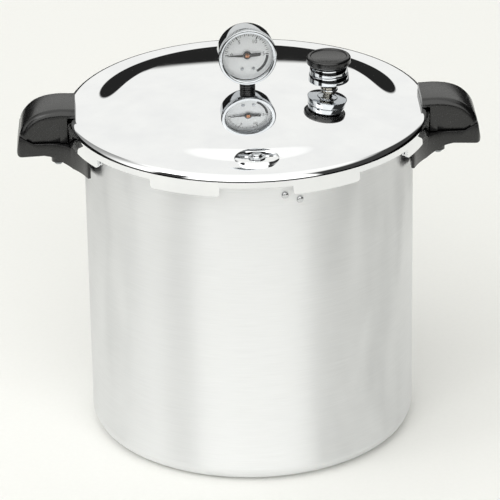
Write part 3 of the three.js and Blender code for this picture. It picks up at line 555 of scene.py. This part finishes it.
# %% [markdown]
# ## Handles
#
# Each handle is two mouldings that meet at a thin seam: the upper one is screwed to the lid and
# the lower one to the pot, so the seam opens when the lid turns. Both are blocks carved by round
# things, the lid, the pot and the seam's own surface of revolution, and no bevel or extrusion
# gives those curves. So here a Boolean does the carving, and a bevel then softens every edge.

# %% Carving helpers
def combine(bm, tool, operation):
    """bm united with, cut by or kept within a second bmesh, by the exact Boolean."""
    made = []
    for name, source in (("shape", bm), ("tool", tool)):
        mesh = bpy.data.meshes.new(name)
        source.to_mesh(mesh)
        source.free()
        made.append(bpy.data.objects.new(name, mesh))
        bpy.context.scene.collection.objects.link(made[-1])
    boolean = made[0].modifiers.new("combine", "BOOLEAN")
    boolean.operation = operation
    boolean.solver = "EXACT"
    boolean.object = made[1]
    bpy.context.view_layer.update()
    evaluated = made[0].evaluated_get(bpy.context.evaluated_depsgraph_get())
    result = bmesh.new()
    result.from_mesh(evaluated.to_mesh())
    evaluated.to_mesh_clear()
    for piece in made:
        mesh = piece.data
        bpy.data.objects.remove(piece)
        bpy.data.meshes.remove(mesh)
    return result


def prism(corners, travel):
    """A closed outline of 3-D corners, extruded along a vector."""
    bm = bmesh.new()
    face = bm.faces.new([bm.verts.new(c) for c in corners])
    bmesh.ops.translate(bm, vec=travel, verts=extrude_faces(bm, [face], keep=True))
    bmesh.ops.recalc_face_normals(bm, faces=bm.faces)
    return bm


def across(outline, half_width, middle=0.0):
    """An outline in X and Z, drawn from one side of the handle to the other."""
    return prism([(x, middle - half_width, z) for x, z in outline], (0, 2 * half_width, 0))


def soften(bm, width, degrees=28, segments=3):
    """Joins split corners, then rounds every edge that is sharp."""
    bmesh.ops.remove_doubles(bm, verts=bm.verts, dist=0.02)
    bmesh.ops.dissolve_limit(
        bm, angle_limit=math.radians(0.6), use_dissolve_boundaries=False,
        verts=bm.verts, edges=bm.edges, delimit={"NORMAL"},
    )
    bevel_edges(bm, sharp_edges(bm, degrees), width, segments)
    return bm


def both_sides(name, make, body, material=phenolic):
    """The right side's piece, and the same piece turned half round for the left."""
    for side, turn in (("right", 0), ("left", math.pi)):
        bm = move(make(), Matrix.Rotation(turn, 4, "Z"))
        finish(f"{name}_{side}_moulding", bm, material, body, [f"{name}_{side}"], smooth_below=40)


print("carving helpers ready")

# %% [markdown]
# The lid's plate is pressed into a flat oval seat under the cover lock, and a small round one under
# the vent pipe. The oval stands above the flat ring at its front and is sunk in the S-curve at its
# back. Its edge crosses the S-curve where no ring of the lid runs, so the recess is cut from the lid
# by a Boolean, and the seat itself is a low step with a rounded rim.

# %% Seats pressed in the lid
LOCK_X, LOCK_Y = 2.2, -137.0
VENT_X, VENT_Y = 76.5, -1.0
LOCK_SEAT = RING_TOP + 3.2
VENT_SEAT = lid_height(math.hypot(VENT_X, VENT_Y) - 7.5) + 0.1


def pressed_seat(radius, top, foot, x, y, share=1.0):
    """A low step with a rounded rim; share makes it an oval, that much as deep as it is wide."""
    seat = turned([
        (0, foot), (radius, foot), (radius, top - 1.2), (radius - 0.2, top - 0.55),
        (radius - 0.6, top - 0.15), (radius - 1.2, top), (0, top),
    ], steps=96)
    return move(seat, Matrix.Translation((x, y, 0)) @ Matrix.Diagonal((1, share, 1, 1)))


recess = pressed_seat(20.6, LOCK_SEAT + 14, LOCK_SEAT - 0.6, LOCK_X, LOCK_Y, 0.6)
lid = combine(lid, recess, "DIFFERENCE")
finish("lid_dome", lid, polished, "lid", ["lid_shell"])
lock_seat = pressed_seat(20.5, LOCK_SEAT, RING_TOP - 1.5, LOCK_X, LOCK_Y, 0.6)
finish("lock_seat", lock_seat, polished, "lid")
vent_seat = pressed_seat(8.6, VENT_SEAT + 0.12, VENT_SEAT - 1.6, VENT_X, VENT_Y)
finish("vent_seat", vent_seat, polished, "lid")

# %% [markdown]
# The cover handle starts as its side outline, drawn as wide as the flat of its top. Each side face
# is then inset and pushed out in seven small steps, which rounds the long edges by 6 mm. A bevel
# would do the same, but its width would be clamped by the short edges of the curved crest. Then the
# lid, the seam and the two set-back side panels are cut away.

# %% Cover handles
SEAM = 298.0
HANDLE_TOP = 329.8
GRIP_EDGE = 6.2


def bezier(start, first, second, end, steps=10):
    """Points along one Bezier curve, without its start."""
    points = []
    for i in range(1, steps + 1):
        t = i / steps
        points.append(tuple(
            a * (1 - t) ** 3 + 3 * b * t * (1 - t) ** 2 + 3 * c * t ** 2 * (1 - t) + d * t ** 3
            for a, b, c, d in zip(start, first, second, end)
        ))
    return points


def seam_ring(line, floor):
    """Everything between the seam's line and a level above or below it."""
    return spin_outline([*line, (230.3, floor), (line[0][0], floor)], ROUND_STEPS, closed=True)


def round_sides(bm, width, steps=7):
    """Pushes the two faces that look along Y out by width, with a quarter round."""
    for side in [f for f in bm.faces if abs(f.normal.y) > 0.9]:
        for i in range(steps):
            low, high = math.radians(90 * i / steps), math.radians(90 * (i + 1) / steps)
            bmesh.ops.inset_individual(
                bm, faces=[side], thickness=width * (math.cos(low) - math.cos(high)),
                depth=width * (math.sin(high) - math.sin(low)), use_even_offset=True,
            )
    return bm


CREST = [
    (176, 329.8), *bezier((176, 329.8), (190, 329.6), (200.5, 326.5), (207, 319.6), 7),
    *bezier((207, 319.6), (212.2, 314.4), (215.7, 309), (215.8, 300), 6),
]
PANEL = [
    (177.1, 288), (177.1, 315.8), (180.1, 318.6),
    *bezier((180.1, 318.6), (196, 318.6), (208.8, 314), (208.8, 298), 8), (208.8, 288),
]


def make_cover_handle():
    outline = [(150, 280), (150, HANDLE_TOP - 1), *CREST, (215.8, 280)]
    grip = round_sides(across(outline, 25 - GRIP_EDGE), GRIP_EDGE)
    grip = combine(grip, across([(140, 270), (162.6, 270), (162.6, 340), (140, 340)], 40), "DIFFERENCE")
    lid_space = turned([(0, 270), (172.0, 270), (172.0, 322.1), (0, 322.1)], steps=ROUND_STEPS)
    grip = combine(grip, lid_space, "DIFFERENCE")
    below = seam_ring([(150, SEAM), (204.3, SEAM), (214.3, SEAM + 6), (230.3, SEAM + 9)], 250)
    grip = combine(grip, below, "DIFFERENCE")
    for side in (-1, 1):
        grip = combine(grip, across(PANEL, 3, side * 25.4), "DIFFERENCE")
    return soften(grip, 0.7)


both_sides("cover_handle", make_cover_handle, "lid")

# %% [markdown]
# The body handle is seen mostly from its side: a wide foot that hugs the pot's wall and a grip
# that narrows to the same 50 mm. Its outline from above is raised to a block, its outline from
# the side trims that block, and the seam and the pot cut away the rest. A round boss below takes
# the screw.

# %% Body handles
def polar(r, degrees):
    return (r * math.cos(math.radians(degrees)), r * math.sin(math.radians(degrees)))


BODY_SCREW_PLACE = Matrix.Translation((180, 0, 0))


def make_body_handle():
    half = [
        polar(152.5, 22), polar(164, 22),
        *bezier(polar(164, 22), polar(165.5, 14), (173.6, 27), (187.6, 25)),
        *bezier((211.3, 25), (215.8, 25), (218.3, 22.5), (218.3, 18), 6),
    ]
    plan = [(x, -y, 270) for x, y in half] + [(x, y, 270) for x, y in reversed(half)]
    handle = prism(plan, (0, 0, 51))
    profile = [
        (149.5, 325), (212.3, 325), (218.3, 287.4), (217.6, 285), (215.6, 284), (192.6, 285), (184.6, 283.4),
        (177.6, 280.5), (165.5, 276.3), (149.5, 276),
    ]
    handle = combine(handle, across(profile, 80), "INTERSECT")
    boss = turned([(0, 269.6), (6.5, 269.6), (6.5, 288), (0, 288)], steps=48)
    handle = combine(handle, move(boss, BODY_SCREW_PLACE), "UNION")
    above = seam_ring(
        [(147.5, 300.4), (171.0, 300.4), (171.0, 297), (204.3, 297), (214.3, 303), (230.3, 306)], 361)
    handle = combine(handle, above, "DIFFERENCE")
    wall = turned([(0, 262), (156.2, 262), (156.2, 322), (0, 322)], steps=ROUND_STEPS)
    return soften(combine(handle, wall, "DIFFERENCE"), 0.9)


both_sides("body_handle", make_body_handle, "pot")

# %% [markdown]
# A pan-head screw shows under each body handle. Its head is a short turned dome, and a crossed
# recess is left out because it points at the floor.

# %% Handle screws
def make_body_screw():
    return move(turned([
        (0, 266.3), (2.2, 266.35), (3.3, 266.8), (4.0, 267.7), (4.2, 268.5), (4.2, 269.3), (2.1, 269.3),
        (2.1, 289), (0, 289),
    ], steps=40), BODY_SCREW_PLACE)


both_sides("body_handle_screw", make_body_screw, "pot", zinc_steel)

# %% [markdown]
# ## Vent pipe and regulator
#
# The vent pipe is a turned pipe with a hexless foot. The regulator is a weight that hangs over
# it: a chrome sleeve with two ring weights that flare like one cone, and a black knob with a
# raised lip and a shallow recess. All of them are spun outlines with bevelled rings.

# %% Vent pipe
PIPE_TIP = VENT_SEAT + 19.7
KNOB_SEAT = PIPE_TIP + 4.6
vent_place = Matrix.Translation((VENT_X, VENT_Y, 0))
foot = VENT_SEAT + 0.3
pipe = turned([
    (1.6, RING_UNDERSIDE - 2), (4.1, RING_UNDERSIDE - 2), (4.1, foot), (7.5, foot), (7.5, foot + 2.2),
    (4.9, foot + 2.7), (4.4, foot + 3.2), (4.4, PIPE_TIP - 2.6), (2.6, PIPE_TIP), (1.6, PIPE_TIP),
], [(7.5, foot + 2.2, 0.5)], 64, closed=True)
finish("vent_tube", move(pipe, vent_place), vent_metal, "lid", ["vent_pipe"])

# %% [markdown]
# The two weights share one slope, so the flare is a small function of height.

# %% Regulator weights
def flare(z):
    return 17.2 + (KNOB_SEAT - z) * 0.13


SPLIT = KNOB_SEAT - 8.3
WEIGHT_BOTTOM = KNOB_SEAT - 16
for name, low, high in (("lower", WEIGHT_BOTTOM, SPLIT - 0.2), ("upper", SPLIT + 0.2, KNOB_SEAT - 1.2)):
    ring = turned(
        [(9.8, low), (flare(low), low), (flare(high), high), (9.8, high)],
        [(flare(low), low, 0.7), (flare(high), high, 0.6)], 128, closed=True)
    move(ring, vent_place)
    finish(f"weight_{name}", ring, chrome, "regulator", [f"regulator_ring_{name}"])

sleeve = turned([
    (0, PIPE_TIP + 0.3), (2.9, PIPE_TIP + 0.3), (4.9, PIPE_TIP - 2.3), (4.9, WEIGHT_BOTTOM - 0.9),
    (9.5, WEIGHT_BOTTOM - 0.9), (9.5, KNOB_SEAT - 0.9), (14, KNOB_SEAT - 0.9), (14, KNOB_SEAT - 0.3),
    (6, KNOB_SEAT - 0.3), (6, KNOB_SEAT + 3.4), (0, KNOB_SEAT + 3.4),
], [(9.5, WEIGHT_BOTTOM - 0.9, 0.4)], 96)
finish("weight_sleeve", move(sleeve, vent_place), chrome, "regulator", ["regulator_body"])

# %% [markdown]
# The knob is moulded, so no edge of it is crisp: the flank is nearly upright, the shoulder rolls
# over to the lip, and the lip falls into a recess 1.3 mm deep.

# %% Regulator knob
knob_top = KNOB_SEAT + 8.6
knob = turned([
    (0, KNOB_SEAT + 3.7), (6.3, KNOB_SEAT + 3.7), (6.3, KNOB_SEAT), (17, KNOB_SEAT), (19.6, KNOB_SEAT + 0.7),
    (20.8, KNOB_SEAT + 2), (20.8, knob_top - 2.6), *arc(18.2, knob_top - 2.6, 2.6, 0, 90, 6)[1:],
    (17.6, knob_top), (17.0, knob_top - 0.35), (16.6, knob_top - 1.1), (15.8, knob_top - 1.3),
    (0, knob_top - 1.3),
], [(19.6, KNOB_SEAT + 0.7, 0.6), (20.8, KNOB_SEAT + 2, 0.5)], 144)
finish("knob", move(knob, vent_place), phenolic, "regulator", ["regulator_knob"])

# %% [markdown]
# ## Cover lock and overpressure plug
#
# The cover lock is a plunger whose chrome cap sits on its flat seat. The plug is a rubber button
# let into the crown, and it is tilted to the crown's slope.

# %% Cover lock cap and plunger
lock_place = Matrix.Translation((LOCK_X, LOCK_Y, 0))
base = LOCK_SEAT + 0.3
cap = turned([
    (0, base + 2.7), (2.3, base + 2.7), (2.3, base), (8, base), (8, base + 1.2), (5.6, base + 1.35),
    (5.0, base + 1.9), *arc(3.4, base + 2.8, 1.4, 0, 90, 6), (0, base + 4.35),
], [(8, base + 1.2, 0.45)], 96)
finish("lock_cap", move(cap, lock_place), chrome, "cover_lock", ["cover_lock_cap"])

# %% [markdown]
# The plug's head is a rubber disc with a rounded shoulder and a dished middle.

# %% Overpressure plug
PLUG_Y = 95.0
plug = turned([
    (0, -6.0), (6.6, -6.0), (7.3, -3.7), (5.6, -3.7), (5.6, 0.4), (8, 0.4), (7.7, 2.1), (6.8, 2.7),
    (4.8, 2.85), (4.1, 2.3), (3.6, 2.0), (0, 2.0),
], steps=72)
slope = PLUG_Y / SPHERE
move(plug, Matrix.Translation((0, PLUG_Y, lid_height(PLUG_Y))) @ Matrix.Rotation(-math.atan(slope), 4, "X"))
finish("plug", plug, rubber, "lid", ["overpressure_plug"], smooth_below=40)

# %% [markdown]
# ## Dial gauge
#
# The gauge stands on a grooved plastic stem, with its dial upright and turned a little to the
# right. Its round pieces are spun about Z like the others, and one matrix then lays them on the
# dial's own axis. The stem's top is hollowed to fit the round case and the wider bezel.

# %% Gauge stem
GAUGE_CENTRE = CROWN_TOP + 33.6
dial_place = (
    Matrix.Translation((0, 0, GAUGE_CENTRE))
    @ Matrix.Rotation(math.radians(4.3), 4, "Z") @ Matrix.Rotation(math.radians(89), 4, "X")
)
CASE_RADIUS = 26.9
seat = CROWN_TOP + 0.3
neck_top = GAUGE_CENTRE - CASE_RADIUS + 6
grooves = [
    (radius, seat + z + offset) for z in (1.7, 4.0)
    for radius, offset in ((7.4, -0.8), (6.7, -0.25), (6.7, 0.25), (7.4, 0.8))
]
stem = turned([
    (1.5, RING_UNDERSIDE + 0.5), (4.7, RING_UNDERSIDE + 0.5), (4.7, seat), (7.4, seat), *grooves,
    (7.4, neck_top), (1.5, neck_top),
], [(7.4, seat, 0.35)], 64, closed=True)
hollow = turned([(0, -20), (27.2, -20), (27.2, 3.3), (27.9, 3.3), (27.9, 14), (0, 14)], steps=128)
stem = combine(stem, move(hollow, dial_place), "DIFFERENCE")
finish("stem", stem, phenolic, "lid", ["gauge_stem"], smooth_below=30)

# %% [markdown]
# The case is a drawn cup with a rounded back. The bezel has a coin edge, a fine knurl that is
# pressed into its rim: every second column of its side is pulled in by half a millimetre, which
# makes 120 straight ridges 1.4 mm apart.

# %% Gauge case and bezel
cup = turned([
    (0, -15.8), (23.1, -15.8), *arc(23.5, -12.4, 3.4, -90, 0, 7)[1:], (26.9, 3.2), (25.2, 3.2),
    (25.2, -13.2), (24.2, -14.1), (0, -14.1),
], [(26.9, 3.2, 0.4)], 128)
finish("case", move(cup, dial_place), chrome, "lid", ["gauge_case"])

bezel = turned([
    (25.4, 3.5), (27.6, 3.5), (27.6, 8.1), (27, 9.1), (26.1, 9.45), (25, 9.4), (24, 9.0), (23.5, 7.6),
    (25.4, 7.6),
], steps=240, closed=True)
for vert in bezel.verts:
    column = round(math.degrees(math.atan2(vert.co.y, vert.co.x)) / 1.5)
    if column % 2 and vert.co.xy.length > 27.5:
        vert.co.x *= 27.05 / 27.6
        vert.co.y *= 27.05 / 27.6
finish("bezel", move(bezel, dial_place), knurled_chrome, "lid", ["gauge_bezel"], smooth_below=24)

# %% [markdown]
# The dial is a thin disc printed with its scale. The ticks, the numbers and the thick arc that
# warns of too much pressure are a hair's thickness of ink, modelled as thin solids so that they
# keep sharp edges. Zero is at nine o'clock and each pound of pressure takes 12 degrees.

# %% Dial and its scale
dial = turned([(0, 0), (24.7, 0), (24.7, 0.6), (0, 0.6)], steps=128)
finish("dial", move(dial, dial_place), dial_enamel, "lid", ["gauge_dial"])


def dial_angle(pressure):
    return math.radians(180 - 12 * pressure)


def ink_bar(bm, angle, inner, outer, width):
    """A printed line along a radius of the dial."""
    made = bmesh.ops.create_cube(bm, size=1)["verts"]
    bmesh.ops.scale(bm, vec=(outer - inner, width, 0.08), verts=made)
    bmesh.ops.translate(bm, vec=((inner + outer) / 2, 0, 0.66), verts=made)
    bmesh.ops.rotate(bm, cent=(0, 0, 0), matrix=Matrix.Rotation(angle, 3, "Z"), verts=made)


marks = bmesh.new()
for step in range(31):
    pressure = step / 2
    whole, five = step % 2 == 0, step % 10 == 0
    ink_bar(marks, dial_angle(pressure), 17.4 if five else 18.2 if whole else 19.0, 20.6,
            0.95 if five else 0.6 if whole else 0.4)
profile = [marks.verts.new((r, 0, w)) for r, w in ((18.0, 0.62), (20.5, 0.62), (20.5, 0.7), (18.0, 0.7))]
band = [marks.faces.new(profile)]
bmesh.ops.rotate(marks, cent=(0, 0, 0), matrix=Matrix.Rotation(math.radians(-62), 3, "Z"), verts=profile)
bmesh.ops.spin(
    marks, geom=band, cent=(0, 0, 0), axis=(0, 0, 1), dvec=(0, 0, 0), angle=math.radians(58), steps=24,
    use_merge=False, use_duplicate=False,
)
bmesh.ops.recalc_face_normals(marks, faces=marks.faces)
finish("dial_scale", move(marks, dial_place), mark_ink, "lid")

# %% [markdown]
# Numbers on a dial are generic, so the scale is numbered in fives. Each is a text object turned
# into a mesh before it is placed, upright on the dial and just inside its tick.

# %% Dial numbers
def number_mesh(text, size, x, y):
    """A number as a flat solid on the dial, centred at x and y."""
    curve = bpy.data.curves.new(f"text_{text}", "FONT")
    curve.body = text
    curve.size = size
    curve.extrude = 0.04
    curve.align_x = "CENTER"
    curve.align_y = "CENTER"
    carrier = bpy.data.objects.new(curve.name, curve)
    bm = bmesh.new()
    bm.from_mesh(carrier.to_mesh())
    carrier.to_mesh_clear()
    bpy.data.objects.remove(carrier)
    bpy.data.curves.remove(curve)
    return move(bm, Matrix.Translation((x, y, 0.66)))


for pressure in (0, 5, 10, 15):
    angle = dial_angle(pressure)
    number = number_mesh(str(pressure), 5.2, 14.4 * math.cos(angle), 14.4 * math.sin(angle))
    finish(f"dial_number_{pressure}", move(number, dial_place), mark_ink, "lid")

# %% [markdown]
# The pointer is a thin blade with a round hub and a wide tail, in black paint. Its brass boss is
# the end of the arbor that the gauge's gear turns. The lens closes the case.

# %% Pointer and lens
HUB = 3.9
rim = [polar(HUB, a) for a in range(188, 338, 10)]
far_rim = [polar(HUB, a) for a in range(22, 172, 10)]
blade = [
    (-18.4, 0.3), (-18.4, -0.3), (-3.86, -0.55), *rim, (12.4, -1.2), (12.4, 1.7), *far_rim, (-3.86, 0.55),
]
pointer = prism([(x, y, 2.1) for x, y in blade], (0, 0, 0.6))
finish("pointer", move(pointer, dial_place), pointer_paint, "pointer", ["gauge_pointer"])

lens = turned([(0, 5.9), (25, 5.9), (25, 7.3), (0, 7.3)], [(25, 7.3, 0.3)], 128)
finish("lens", move(lens, dial_place), lens_clear, "lid", ["gauge_lens"])

# %% [markdown]
# ## Pieces kept from the CAD model
#
# The rack, the bracket, the straps, the nuts and the gauge's movement already have their real
# shape, and most of them show only when the lid is off. They stay as they are, and each gets the
# finish of its real metal or rubber.

# %% Finishes of the kept pieces
KEPT = {
    "canning_rack": rack_aluminium, "locking_bracket": zinc_steel, "sealing_ring": rubber,
    "vent_pipe_nut": brass, "cover_lock_gasket": rubber, "cover_lock_pin": zinc_steel,
    "gauge_washer": zinc_steel, "gauge_nut": brass, "movement_back_plate": brass,
    "movement_front_plate": brass, "movement_pillar_left": brass, "movement_pillar_right": brass,
    "sector_pin": zinc_steel, "bourdon_socket": brass, "bourdon_tube": bronze, "bourdon_link": brass,
    "sector_gear": brass, "pointer_arbor": copper_boss, "dial_screw_left": zinc_steel,
    "dial_screw_right": zinc_steel,
}
for side in ("left", "right"):
    for part in ("body_handle_strap", "body_handle_nut", "cover_handle_strap", "cover_handle_screw",
                 "cover_handle_nut"):
        KEPT[f"{part}_{side}"] = zinc_steel
for name, material in KEPT.items():
    nodes[name].data.materials.clear()
    nodes[name].data.materials.append(material)
left_over = [n for n, o in nodes.items() if n not in KEPT and not o.hide_render]
print("kept", len(KEPT), "nodes; without a finish:", left_over)

# %% [markdown]
# ## Floor and light
#
# The floor is a pale disc with the faint tooth of seamless paper. The light is a studio's: white
# overhead, a wide white window in front, white behind, and black cards between them, which draw
# the dark bands on chrome and down a round metal pot. The camera sees only the paper's own tone
# beyond the floor, so that every view has a plain background.

# %% Floor
FLOOR_RADIUS = 1.5
paper, tree, surface = new_material("pale_seamless_paper", **{"IOR": 1.45, "Specular IOR Level": 0.1})
tooth = grain(tree, 4, 3.0)
tree.links.new(tint(tree, tooth, "F2F2EF", "F4F4F1"), surface.inputs["Base Color"])
surface.inputs["Roughness"].default_value = 0.9
floor_mesh = bpy.data.meshes.new("floor")
bm = bmesh.new()
bmesh.ops.create_circle(bm, cap_ends=True, segments=128, radius=FLOOR_RADIUS)
bm.to_mesh(floor_mesh)
bm.free()
floor_mesh.materials.append(paper)
floor = bpy.data.objects.new("floor", floor_mesh)
floor.location.z = -0.0003
bpy.context.scene.collection.objects.link(floor)
print("floor radius", FLOOR_RADIUS, "m")

# %% [markdown]
# The world's colour depends on the direction that a ray leaves in. Its bearing round the pot picks
# a window or a black card, and overhead it is white. Near the horizon it is dark. That dark band is
# taller behind the pot, and the polished lid shows it as a black crescent.

# %% World
world = bpy.data.worlds.new("studio")
bpy.context.scene.world = world
world.use_nodes = True
sky = world.node_tree
sky.nodes.clear()
way = add_node(sky, "ShaderNodeTexCoord")
parts = add_node(sky, "ShaderNodeSeparateXYZ", {"Vector": way.outputs["Generated"]})
edge = add_node(sky, "ShaderNodeMapRange", {
    "Value": parts.outputs["Y"], "From Min": -0.2, "From Max": 0.3, "To Min": 0.05, "To Max": 0.216,
})
edge_top = add_node(sky, "ShaderNodeMath", {0: edge.outputs["Result"], 1: 0.02}, operation="ADD")
height = add_node(sky, "ShaderNodeMapRange", {
    "Value": parts.outputs["Z"], "From Min": edge.outputs["Result"], "From Max": edge_top.outputs[0],
    "To Min": 0.02, "To Max": 1.0,
})
overhead = add_node(sky, "ShaderNodeMapRange", {
    "Value": parts.outputs["Z"], "From Min": 0.7, "From Max": 0.84, "To Min": 0.0, "To Max": 1.15,
})
back = add_node(sky, "ShaderNodeMath", {0: parts.outputs["Y"], 1: -1.0}, operation="MULTIPLY")
bearing = add_node(sky, "ShaderNodeMath", {0: parts.outputs["X"], 1: back.outputs[0]}, operation="ARCTAN2")
turn_share = add_node(sky, "ShaderNodeMapRange", {
    "Value": bearing.outputs[0], "From Min": -math.pi, "From Max": math.pi, "To Min": 0.0, "To Max": 1.0,
})
bands = add_node(sky, "ShaderNodeValToRGB", {"Fac": turn_share.outputs["Result"]})
BANDS = [  # bearing in degrees, 0 in front of the canner, and the brightness there
    (-180, 0.98), (-143, 0.98), (-138, 0.3), (-108, 0.5), (-86, 1.2), (-66, 1.6), (-60, 0.05),
    (-43, 0.05), (-38, 1.75), (38, 1.75), (43, 0.05), (132, 0.05), (140, 0.98), (180, 0.98),
]
for index, (degrees, level) in enumerate(BANDS):
    place = (degrees + 180) / 360
    if index < 2:
        element = bands.color_ramp.elements[index]
        element.position = place
    else:
        element = bands.color_ramp.elements.new(place)
    element.color = (level, level, level, 1)
walls = add_node(sky, "ShaderNodeMath", {
    0: bands.outputs["Color"], 1: overhead.outputs["Result"]}, operation="MAXIMUM")
light = add_node(sky, "ShaderNodeMath", {
    0: height.outputs["Result"], 1: walls.outputs[0]}, operation="MULTIPLY")
studio = add_node(sky, "ShaderNodeBackground", {"Color": linear("FFFFFC"), "Strength": light.outputs[0]})
backdrop = add_node(sky, "ShaderNodeBackground", {"Color": linear("F4F4F0"), "Strength": 1.0})
seen = add_node(sky, "ShaderNodeLightPath")
mix = add_node(sky, "ShaderNodeMixShader", {
    "Fac": seen.outputs["Is Camera Ray"], 1: studio.outputs["Background"], 2: backdrop.outputs["Background"]})
add_node(sky, "ShaderNodeOutputWorld", {"Surface": mix.outputs["Shader"]})
print("bands:", len(bands.color_ramp.elements))

# %% [markdown]
# One large soft lamp from the upper left gives the black handles their sheen and the floor a
# faint shadow. The view transform is the plain one, so that a colour picked in hex comes out as
# itself.

# %% Key lamp
lamp_data = bpy.data.lights.new("key", "AREA")
lamp_data.shape = "RECTANGLE"
lamp_data.size = 1.6
lamp_data.size_y = 1.0
lamp_data.energy = 12
lamp = bpy.data.objects.new("key", lamp_data)
lamp.location = (-1.6, -1.4, 2.4)
aim = Vector((0, 0, 0.2)) - Vector(lamp.location)
lamp.rotation_euler = aim.to_track_quat("-Z", "Y").to_euler()
bpy.context.scene.collection.objects.link(lamp)
bpy.context.scene.view_settings.view_transform = "Standard"
print("lamp power", lamp_data.energy, "W")
